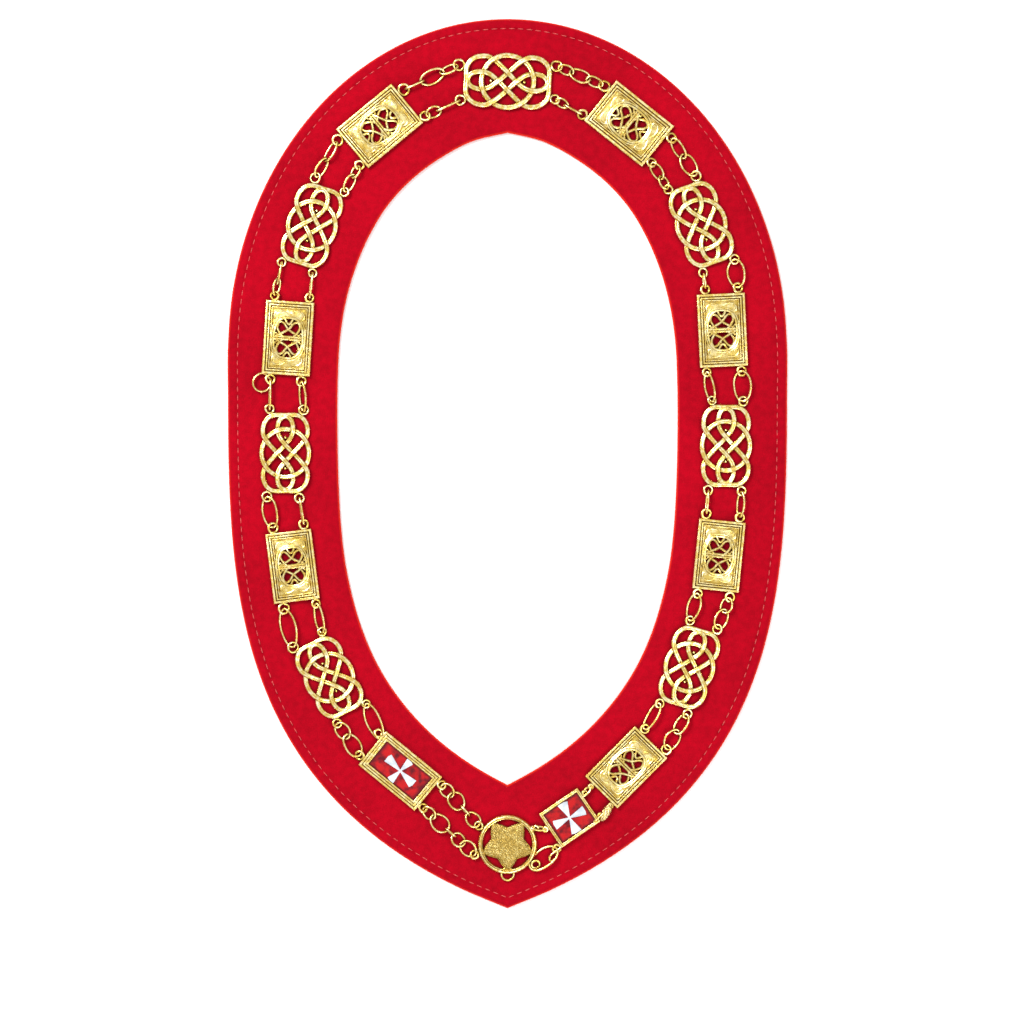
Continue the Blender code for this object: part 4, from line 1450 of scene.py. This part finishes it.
@dataclass
class CrossPlaque:
    """A plaque with a moulded frame, a red enamel field and a white cross."""

    node: str
    steps: tuple[FrameStep, ...]
    long_arms: ArmShape
    short_arms: ArmShape
    thickness: float = 0.0024
    floor: float = 0.0010
    enamel: float = 0.0009
    white: float = 0.0005
    waist: float = 0.0007
    turn: float = math.radians(-6.0)
    edge_round: float = 0.00014
    white_round: float = 0.00016
    white_sink: float = 0.0001
    field_gap: float = 0.0003
    wall_inset: float = 0.0001
    sag: float = 0.00025
    sag_power: int = 12

    @property
    def frame_width(self) -> float:
        """The width of the whole moulding."""
        return sum(step.inset for step in self.steps)

    def frame_body(self, seat: Seat) -> Piece:
        """The moulded frame and the floor of its tray.

        Args:
            seat: The plaque's seat.

        Returns:
            The mesh object.
        """
        level = self.thickness + sum(step.rise for step in self.steps)
        steps = [*self.steps, FrameStep(self.wall_inset, self.floor - level)]
        plate = moulded_plate(self.node, seat.length, seat.width, self.thickness, steps)
        return rounded_edges(plate, self.edge_round)

    def field(self, seat: Seat) -> Piece:
        """The red enamel, a pillow that fills the tray.

        Args:
            seat: The plaque's seat.

        Returns:
            The mesh object.
        """
        length = seat.length - 2 * self.frame_width - self.field_gap
        width = seat.width - 2 * self.frame_width - self.field_gap
        bpy.ops.mesh.primitive_grid_add(x_subdivisions=40, y_subdivisions=26, size=2.0)
        field = added(self.node + "_red_enamel_glaze")
        layer = field.data.uv_layers.active or field.data.uv_layers.new(name="field")
        for loop in field.data.loops:
            place = field.data.vertices[loop.vertex_index].co
            layer.data[loop.index].uv = (place.x, place.y)
        for vertex in field.data.vertices:
            x, y = vertex.co.x, vertex.co.y
            top = self.floor + self.enamel - self.sag * max(abs(x), abs(y)) ** self.sag_power
            vertex.co = (x * length / 2, y * width / 2, top)
        modified(field, "SOLIDIFY", thickness=self.enamel, offset=-1.0)
        return cleaned(field)

    def cross(self, seat: Seat) -> Piece:
        """The white cross, four flared arms with slightly pointed ends.

        Args:
            seat: The plaque's seat. Not used.

        Returns:
            The mesh object.
        """
        outline = []
        for turn, arm in enumerate((self.long_arms, self.short_arms) * 2):
            quarter = Matrix.Rotation(turn * math.pi / 2 + self.turn, 2)
            for place in (
                (self.waist, -0.75 * self.waist),
                (0.94 * arm.reach, -arm.flare),
                (arm.reach, -0.35 * arm.flare),
                (0.97 * arm.reach, 0.85 * arm.flare),
                (self.waist, 0.75 * self.waist),
            ):
                outline.append(tuple(quarter @ Vector(place)))
        cross = poly_curve(self.node + "_white_cross_glaze", np.array(outline), True)
        cross.data.dimensions = "2D"
        cross.data.fill_mode = "BOTH"
        cross.data.extrude = self.white / 2
        choose(cross)
        bpy.ops.object.convert(target="MESH")
        cross = cleaned(added(self.node + "_white_cross_glaze"))
        level = self.floor + self.enamel + self.white / 2 - self.white_sink
        cross.data.transform(Matrix.Translation((0.0, 0.0, level)))
        return rounded_edges(cross, self.white_round)

    def build(self, seat: Seat, lugs: Sequence[Piece]) -> None:
        """Builds the frame, the field and the cross in their seat.

        Args:
            seat: The plaque's seat.
            lugs: Its lugs, in place.
        """
        body, field, cross = self.frame_body(seat), self.field(seat), self.cross(seat)
        for obj in (body, field, cross):
            obj.data.transform(seat.matrix())
        piece = smoothed(united(f"{self.node}_cast", [body, *lugs]), 32.0)
        finish_piece(piece, CAST_GILT, self.node)
        finish_piece(smoothed(field, 50.0), RED_GLAZE, self.node + "_red_enamel")
        finish_piece(smoothed(cross, 50.0), WHITE_GLAZE, self.node + "_white_cross")


CROSSES = (
    CrossPlaque(
        "cross_left",
        (
            FrameStep(0.00035, 0.00050), FrameStep(0.00100, 0.0), FrameStep(0.00030, -0.00055),
            FrameStep(0.00030, 0.00050), FrameStep(0.00085, 0.0), FrameStep(0.00030, -0.00050),
            FrameStep(0.00030, 0.00035), FrameStep(0.00070, 0.0), FrameStep(0.00030, -0.00030),
        ),
        ArmShape(0.0110, 0.0031),
        ArmShape(0.0083, 0.0026),
    ),
    CrossPlaque(
        "cross_right",
        (
            FrameStep(0.00030, 0.00055), FrameStep(0.00055, 0.0), FrameStep(0.00025, -0.00040),
            FrameStep(0.00025, 0.00015), FrameStep(0.00040, 0.0), FrameStep(0.00025, -0.00030),
        ),
        ArmShape(0.0101, 0.0030),
        ArmShape(0.0097, 0.0035),
    ),
)


# The medallion


class StarStep(NamedTuple):
    """A step of the star's relief: how far it rises, in metres, and how far it draws in."""

    rise: float
    size: float


@dataclass
class Medallion:
    """The star medallion: a domed ring, a pebbled star and a hanging loop."""

    node: str = "medallion"
    ring_width: float = 0.0034
    ring_height: float = 0.0030
    star_back: float = 0.0005
    notch_share: float = 0.66
    point_sharpness: float = 1.35
    star_tuck: float = 0.35
    loop_diameter: float = 0.0086
    loop_wire: float = 0.0013
    loop_bite: float = 0.45

    STAR_STEPS: ClassVar[tuple[StarStep, ...]] = (
        StarStep(0.00150, 1.0),
        StarStep(0.00040, 0.96),
        StarStep(0.00030, 0.92),
        StarStep(0.00020, 0.82),
        StarStep(0.00010, 0.60),
    )

    def ring(self, seat: Seat) -> Piece:
        """The domed ring.

        Args:
            seat: The medallion's seat.

        Returns:
            The mesh object.
        """
        radius = (seat.length - self.ring_width) / 2
        w, h = self.ring_width / 2, self.ring_height
        section = [
            (-w, 0.0), (-w, 0.35 * h), (-0.86 * w, 0.62 * h), (-0.55 * w, 0.86 * h), (-0.30 * w, 0.80 * h),
            (0.0, h), (0.35 * w, 0.97 * h), (0.72 * w, 0.78 * h), (w, 0.40 * h), (w, 0.0),
        ]
        return swept("ring", raised(circle(radius, 96), 0.0), np.array(section), True)

    def star(self, seat: Seat) -> Piece:
        """The star, one point to the tip, its points under the ring.

        Args:
            seat: The medallion's seat.

        Returns:
            The mesh object.
        """
        inner = seat.length / 2 - self.ring_width
        reach = inner + self.star_tuck * self.ring_width
        bpy.ops.mesh.primitive_circle_add(vertices=60, radius=reach, fill_type="NGON")
        star = added("star")
        for index, vertex in enumerate(star.data.vertices):
            angle = -math.pi / 2 + index * 2 * math.pi / 60
            phase = abs((index % 12) - 6) / 6
            size = reach * (self.notch_share + (1 - self.notch_share) * phase**self.point_sharpness)
            vertex.co = (size * math.cos(angle), size * math.sin(angle), self.star_back)
        select_faces(star, lambda centre, normal: True)
        for step in self.STAR_STEPS:
            bpy.ops.mesh.extrude_region_move(TRANSFORM_OT_translate={"value": (0.0, 0.0, step.rise)})
            bpy.ops.transform.resize(value=(step.size, step.size, 1.0), center_override=(0.0, 0.0, 0.0))
        leave_edit_mode()
        return cleaned(star)

    def loop(self, seat: Seat) -> Piece:
        """The empty hanging loop at the tip's end.

        Args:
            seat: The medallion's seat.

        Returns:
            The mesh object.
        """
        radius = (self.loop_diameter - self.loop_wire) / 2
        loop = wire_ring("loop", radius, radius, self.loop_wire, 0)
        drop = seat.length / 2 + radius - self.loop_bite * self.loop_diameter
        loop.data.transform(Matrix.Translation((0.0, -drop, self.ring_height / 2)))
        return loop

    def build(self, seat: Seat, lugs: Sequence[Piece]) -> None:
        """Builds the medallion in its seat.

        Args:
            seat: Its seat.
            lugs: Its lugs, in place.
        """
        place = Matrix.Translation((*seat.centre, seat.back))
        ring, loop, star = self.ring(seat), self.loop(seat), self.star(seat)
        for part in (ring, loop, star):
            part.data.transform(place)
        ring = smoothed(united("medallion_ring", [ring, loop, *lugs]), 40.0)
        finish_piece(ring, CAST_GILT, self.node)
        finish_piece(smoothed(star, 40.0), PEBBLED_GILT, self.node)


# The chain


class Pose(Enum):
    """How a link lies: flat on the velvet, twisted or up on its edge."""

    FLAT = 0.0
    TWISTED = 42.0
    UPRIGHT = 78.0


TWISTED, UPRIGHT = Pose.TWISTED, Pose.UPRIGHT

# How far a link's wire departs from a true oval, as a share of its radius
UNEVENNESS = 0.035


class Oval(NamedTuple):
    """A link as the photo shows it: its outer length and width in metres, and its pose."""

    length: float
    width: float
    pose: Pose = Pose.FLAT


class Row(NamedTuple):
    """One chain row of a gap.

    near and far place its lugs: across the plaque in half widths, outwards positive, or on
    the medallion a bearing in degrees. lug is the lugs' outer diameter in metres.
    """

    near: float
    far: float
    lug: float
    links: tuple[Oval, ...]


class Gap(NamedTuple):
    """The gap between two plaques, with the two rows that cross it."""

    first: str
    last: str
    outer: Row
    inner: Row


GAPS: dict[str, tuple[Gap, ...]] = {
    "right": (
        Gap("knot_top", "scroll_right_1",
            Row(0.61, 0.53, 0.0076, (Oval(0.0076, 0.0070), Oval(0.0099, 0.0093), Oval(0.0082, 0.0070))),
            Row(-0.55, -0.85, 0.0067, (Oval(0.0076, 0.0064), Oval(0.0105, 0.0053, UPRIGHT)))),
        Gap("scroll_right_1", "knot_right_1",
            Row(0.58, 0.42, 0.0070, (Oval(0.0093, 0.0076), Oval(0.0099, 0.0099))),
            Row(-0.63, -0.73, 0.0064, (Oval(0.0105, 0.0076), Oval(0.0082, 0.0070)))),
        Gap("knot_right_1", "scroll_right_2",
            Row(0.74, 0.72, 0.0067, (Oval(0.0105, 0.0111),)),
            Row(-0.54, -0.63, 0.0064, (Oval(0.0082, 0.0053, UPRIGHT),))),
        Gap("scroll_right_2", "knot_right_2",
            Row(0.72, 0.64, 0.0067, (Oval(0.0117, 0.0117),)),
            Row(-0.72, -0.54, 0.0061, (Oval(0.0105, 0.0070),))),
        Gap("knot_right_2", "scroll_right_3",
            Row(0.60, 0.72, 0.0064, (Oval(0.0088, 0.0064, TWISTED),)),
            Row(-0.66, -0.72, 0.0067, (Oval(0.0093, 0.0053, UPRIGHT),))),
        Gap("scroll_right_3", "knot_right_3",
            Row(0.64, 0.60, 0.0067, (Oval(0.0082, 0.0082), Oval(0.0105, 0.0093))),
            Row(-0.74, -0.50, 0.0064, (Oval(0.0111, 0.0088),))),
        Gap("knot_right_3", "scroll_right_4",
            Row(0.45, 0.70, 0.0067, (Oval(0.0099, 0.0082), Oval(0.0099, 0.0099))),
            Row(-0.68, -0.60, 0.0064, (Oval(0.0129, 0.0076),))),
        Gap("scroll_right_4", "cross_right",
            Row(0.70, 0.74, 0.0041, (Oval(0.0053, 0.0047, UPRIGHT),)),
            Row(-0.50, -0.58, 0.0041, (Oval(0.0058, 0.0047, TWISTED),))),
        Gap("cross_right", "medallion",
            Row(0.88, -35.0, 0.0061, (Oval(0.0129, 0.0117),)),
            Row(-0.20, 30.0, 0.0041, (Oval(0.0047, 0.0041, TWISTED),))),
    ),
    "left": (
        Gap("knot_top", "scroll_left_1",
            Row(0.50, 0.50, 0.0076, (Oval(0.0076, 0.0064), Oval(0.0099, 0.0093),
                Oval(0.0082, 0.0053, UPRIGHT))),
            Row(-0.72, -0.84, 0.0070, (Oval(0.0117, 0.0053, UPRIGHT), Oval(0.0076, 0.0076)))),
        Gap("scroll_left_1", "knot_left_1",
            Row(0.63, 0.42, 0.0073, (Oval(0.0093, 0.0070, TWISTED), Oval(0.0088, 0.0070))),
            Row(-0.68, -0.80, 0.0064, (Oval(0.0070, 0.0064), Oval(0.0099, 0.0070)))),
        Gap("knot_left_1", "scroll_left_2",
            Row(0.68, 0.65, 0.0061, (Oval(0.0088, 0.0053, UPRIGHT), Oval(0.0070, 0.0058, TWISTED))),
            Row(-0.57, -0.78, 0.0061, (Oval(0.0082, 0.0053, UPRIGHT),))),
        Gap("scroll_left_2", "knot_left_2",
            Row(0.62, 0.60, 0.0064, (Oval(0.0093, 0.0053, UPRIGHT),)),
            Row(-0.66, -0.70, 0.0067, (Oval(0.0088, 0.0058),))),
        Gap("knot_left_2", "scroll_left_3",
            Row(0.70, 0.63, 0.0070, (Oval(0.0117, 0.0105),)),
            Row(-0.54, -0.70, 0.0067, (Oval(0.0088, 0.0053, UPRIGHT),))),
        Gap("scroll_left_3", "knot_left_3",
            Row(0.60, 0.72, 0.0073, (Oval(0.0123, 0.0105),)),
            Row(-0.80, -0.54, 0.0061, (Oval(0.0111, 0.0070),))),
        Gap("knot_left_3", "cross_left",
            Row(0.52, 0.62, 0.0064, (Oval(0.0088, 0.0099), Oval(0.0117, 0.0105))),
            Row(-0.80, -0.70, 0.0058, (Oval(0.0117, 0.0099),))),
        Gap("cross_left", "medallion",
            Row(0.64, 197.0, 0.0061, (Oval(0.0088, 0.0082), Oval(0.0123, 0.0105),
                Oval(0.0076, 0.0053, UPRIGHT), Oval(0.0088, 0.0088), Oval(0.0105, 0.0099))),
            Row(-0.70, 147.0, 0.0061, (Oval(0.0088, 0.0093), Oval(0.0105, 0.0105),
                Oval(0.0076, 0.0053, UPRIGHT), Oval(0.0093, 0.0093)))),
    ),
}


def wire_ring(
    name: str, half_length: float, half_width: float, wire: float, seed: int
) -> Piece:
    """A ring of round wire drawn out to an oval, flat round the origin.

    Args:
        name: Its name.
        half_length: Half its centreline's length along X.
        half_width: Half its centreline's width.
        wire: The wire's diameter.
        seed: Sets how it departs from a true oval. 0 leaves it true.

    Returns:
        The mesh object.
    """
    bpy.ops.mesh.primitive_torus_add(
        major_segments=32, minor_segments=10, major_radius=1.0, minor_radius=wire / 2, generate_uvs=False
    )
    ring = added(name)
    swing = UNEVENNESS if seed else 0.0
    for vertex in ring.data.vertices:
        x, y, z = vertex.co
        reach = math.hypot(x, y)
        cos, sin = x / reach, y / reach
        angle = math.atan2(y, x)
        waves = math.sin(2 * angle + 1.7 * seed) + math.sin(3 * angle + seed)
        uneven = 1.0 + swing * waves * sin * sin
        normal = Vector((cos / half_length, sin / half_width)).normalized()
        out = reach - 1.0
        vertex.co = (
            half_length * cos * uneven + normal.x * out,
            half_width * sin * uneven + normal.y * out,
            z,
        )
    return ring


@dataclass(frozen=True)
class Link:
    """A link's centreline: half its length and width, its lean and its height."""

    half_length: float
    half_width: float
    lean: float
    height: float

    def line(self, start: float) -> np.ndarray:
        """Points of the centreline in a row along X, with its end at start.

        Args:
            start: Where its end lies on X.

        Returns:
            The points, in rows.
        """
        angles = np.linspace(0.0, 2 * math.pi, 90, endpoint=False)
        side = self.half_width * np.sin(angles)
        return np.stack(
            [
                start + self.half_length * (1.0 - np.cos(angles)),
                side * math.cos(self.lean),
                self.height + side * math.sin(self.lean),
            ],
            axis=1,
        )


def least_distance(first: np.ndarray, second: np.ndarray) -> float:
    """Smallest distance between two sets of points."""
    return math.sqrt(((first[:, None] - second[None]) ** 2).sum(axis=2).min())


@dataclass
class Chains:
    """The rows of links, each hooked in the next and in the lugs of two plaques."""

    wire: float = 0.0014
    lug_lean: float = math.radians(20.0)
    lug_height: float = 0.0018
    pile: float = 0.0033
    sink: float = 0.0008
    wire_rest: float = 0.35
    rounds: int = 7
    touch: float = 0.00002
    step: float = 0.00004

    def link(self, size: Oval, scale: float, sign: float) -> Link:
        """A link of some size that leans until its lower side rests on the pile.

        Args:
            size: Its size and pose.
            scale: How much it is drawn out.
            sign: Which way it leans.

        Returns:
            The link.
        """
        half_length = (size.length * scale - self.wire) / 2
        half_width = (size.width - self.wire) / 2
        plane = self.pile + self.lug_height
        rest = self.pile + self.wire_rest * self.wire
        if size.pose is Pose.FLAT:
            lean = math.asin(min(1.0, (plane - rest) / half_width))
        else:
            lean = math.radians(size.pose.value)
        height = max(plane, rest - self.sink + half_width * math.sin(lean))
        return Link(max(half_length, 0.5 * half_width), half_width, sign * lean, height)

    def lug_link(self, diameter: float, beside: Link) -> Link:
        """A lug as a link, which leans the other way than the link that it holds."""
        radius = (diameter - self.wire) / 2
        return Link(radius, radius, -math.copysign(self.lug_lean, beside.lean), self.pile + self.lug_height)

    def hooked(self, first: Link, second: Link) -> float:
        """How far two ends reach into each other when the two just touch.

        Args:
            first: The link before.
            second: The link after.

        Returns:
            The depth.
        """
        clear = self.wire + self.touch
        fixed = second.line(0.0)
        depth = clear
        while depth < first.half_length:
            if least_distance(fixed, first.line(depth - 2 * first.half_length)) >= clear:
                break
            depth += self.step
        return depth

    def fitted(self, row: Row, length: float) -> tuple[list[Link], list[float], list[Link]]:
        """Draws the links out together until the row spans its lugs.

        Args:
            row: The row.
            length: From one lug's middle to the other's.

        Returns:
            The links, where each starts, and the two lugs.
        """
        scale = 1.0
        for _ in range(self.rounds):
            links = [self.link(size, scale, (-1.0) ** n) for n, size in enumerate(row.links)]
            lugs = [self.lug_link(row.lug, link) for link in (links[0], links[-1])]
            chain = [lugs[0], *links, lugs[1]]
            depths = [self.hooked(a, b) for a, b in zip(chain, chain[1:])]
            drawn = sum(2 * link.half_length for link in links)
            wanted = length - lugs[0].half_length - lugs[1].half_length + sum(depths)
            scale *= wanted / drawn
        starts = [lugs[0].half_length - depths[0]]
        for link, depth in zip(links, depths[1:]):
            starts.append(starts[-1] + 2 * link.half_length - depth)
        return links, starts, lugs

    def shape(self, link: Link, centre: Vector, heading: float, seed: int) -> Piece:
        """A link or lug as a mesh, in place.

        Args:
            link: Its form.
            centre: Its middle on the collar's plane.
            heading: The row's direction.
            seed: Its unevenness.

        Returns:
            The mesh object.
        """
        ring = wire_ring("wire", link.half_length, link.half_width, self.wire, seed)
        ring.data.transform(
            Matrix.Translation((centre.x, centre.y, link.height))
            @ Matrix.Rotation(heading, 4, "Z")
            @ Matrix.Rotation(link.lean, 4, "X")
        )
        return ring

    def build_row(
        self, node: str, row: Row, start: Vector, end: Vector, seed: int
    ) -> tuple[Piece, Piece]:
        """Builds one row's links, and the two lugs that hold it.

        Args:
            node: The CAD node that the links stand for.
            row: The row.
            start: The first lug's middle.
            end: The last lug's middle.
            seed: The row's number.

        Returns:
            The first and the last lug.
        """
        along = end - start
        heading = math.atan2(along.y, along.x)
        links, starts, lugs = self.fitted(row, along.length)
        shapes = []
        for number, (link, place) in enumerate(zip(links, starts)):
            centre = start + along.normalized() * (place + link.half_length)
            shapes.append(self.shape(link, centre, heading, 10 * seed + number + 1))
        finish_piece(smoothed(united(f"{node}_links", shapes), 60.0), WIRE_GILT, node)
        return tuple(
            self.shape(lug, place, heading, 10 * seed + 8 + n)
            for n, (lug, place) in enumerate(zip(lugs, (start, end)))
        )


@dataclass
class Oddments:
    """The loose ends that the photo shows: an empty ring, a bent rod and a lump of solder."""

    wire: float = 0.0013
    rod: float = 0.0013
    ring_place: ClassVar[tuple[float, float]] = (262.2, 382.8)
    ring_size: float = 0.0117
    ring_lean: float = math.radians(12.0)
    rod_line: ClassVar[Shape] = (
        (0.0010, 0.0),
        (-0.0030, 0.0001),
        (-0.0070, 0.0004),
        (-0.0090, 0.0012),
        (-0.0098, 0.0028),
        (-0.0086, 0.0038),
        (-0.0070, 0.0034),
    )
    lump_line: ClassVar[Shape] = ((610.6, 803.9), (600.9, 820.5))
    lump_width: float = 0.0050
    lump_bumps: tuple[float, float] = (11.0, 9.0)
    lump_relief: float = 0.09
    height: float = 0.0052

    def stray_ring(self) -> Piece:
        """The empty ring beside the second left scroll plaque.

        Returns:
            The mesh object.
        """
        radius = (self.ring_size - self.wire) / 2
        ring = wire_ring("chain_left_4_stray_ring", radius, radius, self.wire, 3)
        place = photo_point(*self.ring_place)
        ring.data.transform(
            Matrix.Translation((place.x, place.y, self.height)) @ Matrix.Rotation(self.ring_lean, 4, "Y")
        )
        return ring

    def bent_rod(self, seat: Seat) -> Piece:
        """The rod that runs on past a corner of the right cross plaque and curls up.

        Args:
            seat: The plaque's seat.

        Returns:
            The mesh object.
        """
        along, across = -seat.length / 2, (seat.width - self.rod) / 2
        places = [seat.point(along + x, seat.outward * (across + y)) for x, y in self.rod_line]
        line = curved(np.array(places), 8, False)
        return swept("cross_right_rod", raised(line, self.height), circle(self.rod / 2), False)

    def lump(self) -> Piece:
        """The grain of solder over the link between the right cross and its scroll plaque.

        Returns:
            The mesh object.
        """
        start, end = (photo_point(*place) for place in self.lump_line)
        run, middle = end - start, (start + end) / 2
        bpy.ops.mesh.primitive_uv_sphere_add(segments=64, ring_count=40, radius=1.0)
        lump = added("chain_right_8_lump")
        for vertex in lump.data.vertices:
            x, y, z = vertex.co
            around, down = math.atan2(y, x), math.acos(max(-1.0, min(1.0, z)))
            bumps = math.sin(self.lump_bumps[0] * around) * math.sin(self.lump_bumps[1] * down)
            vertex.co *= 1.0 + self.lump_relief * bumps * math.sin(down)
        half_width = self.lump_width / 2
        lump.data.transform(
            Matrix.Translation((middle.x, middle.y, self.height))
            @ Matrix.Rotation(math.atan2(run.y, run.x), 4, "Z")
            @ Matrix.Rotation(math.pi / 2, 4, "Y")
            @ Matrix.Diagonal((half_width, half_width, run.length / 2, 1.0))
        )
        return lump

    def build(self, cross: Seat) -> None:
        """Builds them all.

        Args:
            cross: The right cross plaque's seat.
        """
        for piece in (self.stray_ring(), self.bent_rod(cross)):
            finish_piece(smoothed(piece, 60.0), WIRE_GILT)
        finish_piece(smoothed(self.lump(), 60.0), SOLDER)


# The whole


@dataclass
class ChainCollar:
    """Every piece of the collar, in its place."""

    LUG_BITE: ClassVar[float] = 0.00025

    def __post_init__(self) -> None:
        """Finds the seats."""
        self.knots = Knots()
        self.scrolls = Scrolls()
        self.chains = Chains()
        names = [name for gaps in GAPS.values() for gap in gaps for name in (gap.first, gap.last)]
        self.seats = {name: self.seat(name) for name in dict.fromkeys(names)}
        self.lugs: dict[str, list[Piece]] = {name: [] for name in self.seats}

    @staticmethod
    def seat(name: str) -> Seat:
        """The seat of a plaque, from its CAD node.

        Args:
            name: The plaque's node.

        Returns:
            The seat.
        """
        if name.startswith("knot"):
            return Seat.of_knot(name)
        if name == "medallion":
            points = node_points(name)
            back = float(points[:, 2].min())
            low = points[points[:, 2] < back + Seat.LUG_FREE][:, :2]
            centre = (low.max(axis=0) + low.min(axis=0)) / 2
            size = float(np.linalg.norm(low - centre, axis=1).max()) * 2
            return Seat(Vector(centre), 0.0, size, size, back)
        return Seat.of_plate(name)

    def lug_place(self, name: str, share: float, towards: Vector, diameter: float) -> Vector:
        """Where a lug sits on a plaque.

        Args:
            name: The plaque.
            share: Its place across the plaque, or its bearing on the medallion.
            towards: The middle of the plaque at the row's other end.
            diameter: The lug's outer diameter.

        Returns:
            The lug's middle on the collar's plane.
        """
        seat = self.seats[name]
        reach = diameter / 2 * math.cos(self.chains.lug_lean) - self.LUG_BITE
        if name == "medallion":
            bearing = math.radians(share)
            return seat.point((seat.length / 2 + reach) * math.cos(bearing),
                              (seat.length / 2 + reach) * math.sin(bearing))
        end = math.copysign(1.0, seat.local(towards).x)
        across = share * seat.width / 2
        along = seat.length / 2 + reach
        if name.startswith("knot"):
            along = self.knots.lug_reach(seat, abs(across), reach)
        return seat.point(end * along, seat.outward * across)

    def build_row(self, node: str, gap: Gap, row: Row, number: int) -> None:
        """Builds a chain row and keeps its lugs for the plaques.

        Args:
            node: Its CAD node.
            gap: The gap that it crosses.
            row: The row.
            number: Its number, from 1 on.
        """
        first, last = self.seats[gap.first].centre, self.seats[gap.last].centre
        start = self.lug_place(gap.first, row.near, last, row.lug)
        end = self.lug_place(gap.last, row.far, first, row.lug)
        near, far = self.chains.build_row(node, row, start, end, number)
        self.lugs[gap.first].append(near)
        self.lugs[gap.last].append(far)

    def build_chains(self) -> None:
        """Builds every chain row."""
        number = 0
        for side, gaps in GAPS.items():
            for place, gap in enumerate(gaps, start=1):
                for edge, row in (("outer", gap.outer), ("inner", gap.inner)):
                    number += 1
                    self.build_row(f"chain_{side}_{place}_{edge}", gap, row, number)

    def build_plaques(self) -> None:
        """Builds every plaque with its lugs."""
        knot, scroll = self.knots.template(), self.scrolls.template()
        crosses = {cross.node: cross for cross in CROSSES}
        for name, seat in self.seats.items():
            lugs = self.lugs[name]
            if name.startswith("knot"):
                self.knots.build(name, seat, knot, lugs, KNOT_GILT)
            elif name.startswith("scroll"):
                self.scrolls.build(name, seat, scroll, lugs, CAST_GILT)
            else:
                crosses.get(name, Medallion()).build(seat, lugs)
        for template in (knot, scroll):
            bpy.data.objects.remove(template, do_unlink=True)

    def build(self) -> None:
        """Builds the whole collar."""
        velvet = VelvetCollar()
        velvet.build()
        velvet.build_stitches()
        velvet.build_fuzz()
        self.build_chains()
        self.build_plaques()
        Oddments().build(self.seats["cross_right"])


@dataclass
class Studio:
    """The pale floor, the soft lights and the camera straight above."""

    lens: float = 100.0
    sensor: float = 36.0
    floor_size: float = 6.0
    horizon: Color = (0.16, 0.12, 0.08)
    sky: Color = (1.0, 1.0, 1.0)
    sky_strength: float = 1.0
    floor_drop: float = 0.0004

    def build_camera(self) -> None:
        """Sets the camera over the middle of the photo, at the photo's scale."""
        middle = photo_point(PHOTO_SIDE / 2, PHOTO_SIDE / 2)
        height = PHOTO_SIDE * PIXEL * self.lens / self.sensor
        place = (middle.x, middle.y, height + VELVET_TOP)
        bpy.ops.object.camera_add(location=place, rotation=(0.0, 0.0, 0.0))
        camera = added("camera")
        camera.data.lens = self.lens
        camera.data.sensor_width = self.sensor
        camera.data.clip_end = 20.0
        bpy.context.scene.camera = camera

    def build_floor(self) -> None:
        """A plain pale floor, just below the velvet."""
        bpy.ops.mesh.primitive_plane_add(size=self.floor_size, location=(0.0, 0.0, -self.floor_drop))
        floor = added("floor")
        material = bpy.data.materials.new("pale_floor")
        material.use_nodes = True
        look = {"Base Color": (0.93, 0.93, 0.93, 1.0), "Roughness": 0.9, "Specular IOR Level": 0.1}
        Shader(material.node_tree).fill(material.node_tree.nodes["Principled BSDF"], look)
        floor.data.materials.append(material)

    @staticmethod
    def softbox(name: str, place: Vector, size: float, power: float) -> None:
        """An area light that faces the collar.

        Args:
            name: Its name.
            place: Where it hangs.
            size: The side of its square.
            power: Its power in watts.
        """
        turn = (-place).to_track_quat("-Z", "Y").to_euler()
        bpy.ops.object.light_add(type="AREA", location=place, rotation=turn)
        light = added(name)
        light.data.size = size
        light.data.energy = power

    def build_lights(self) -> None:
        """Soft light from above and from the upper left, and a pale world."""
        self.softbox("key_light", Vector((-0.9, 0.9, 1.5)), 0.7, 34.0)
        self.softbox("fill_light", Vector((1.3, -0.5, 1.6)), 1.0, 12.0)
        self.softbox("front_light", Vector((0.1, -1.6, 1.1)), 0.7, 10.0)
        world = bpy.context.scene.world or bpy.data.worlds.new("studio")
        bpy.context.scene.world = world
        world.use_nodes = True
        shader = Shader(world.node_tree)
        zenith = shader.ramp(shader.split("Generated")["Z"], 0.10, 0.80)
        look = {"Color": shader.mix(zenith, self.horizon, self.sky), "Strength": self.sky_strength}
        shader.fill(world.node_tree.nodes["Background"], look)
        bpy.context.scene.view_settings.view_transform = "Standard"

    def build(self) -> None:
        """Builds the studio."""
        self.build_camera()
        self.build_floor()
        self.build_lights()


def main() -> None:
    """Builds the collar and its studio, and reports each piece."""
    logging.basicConfig(level=logging.INFO, format="%(message)s")
    Studio().build()
    ChainCollar().build()


if __name__ == "__main__":
    main()
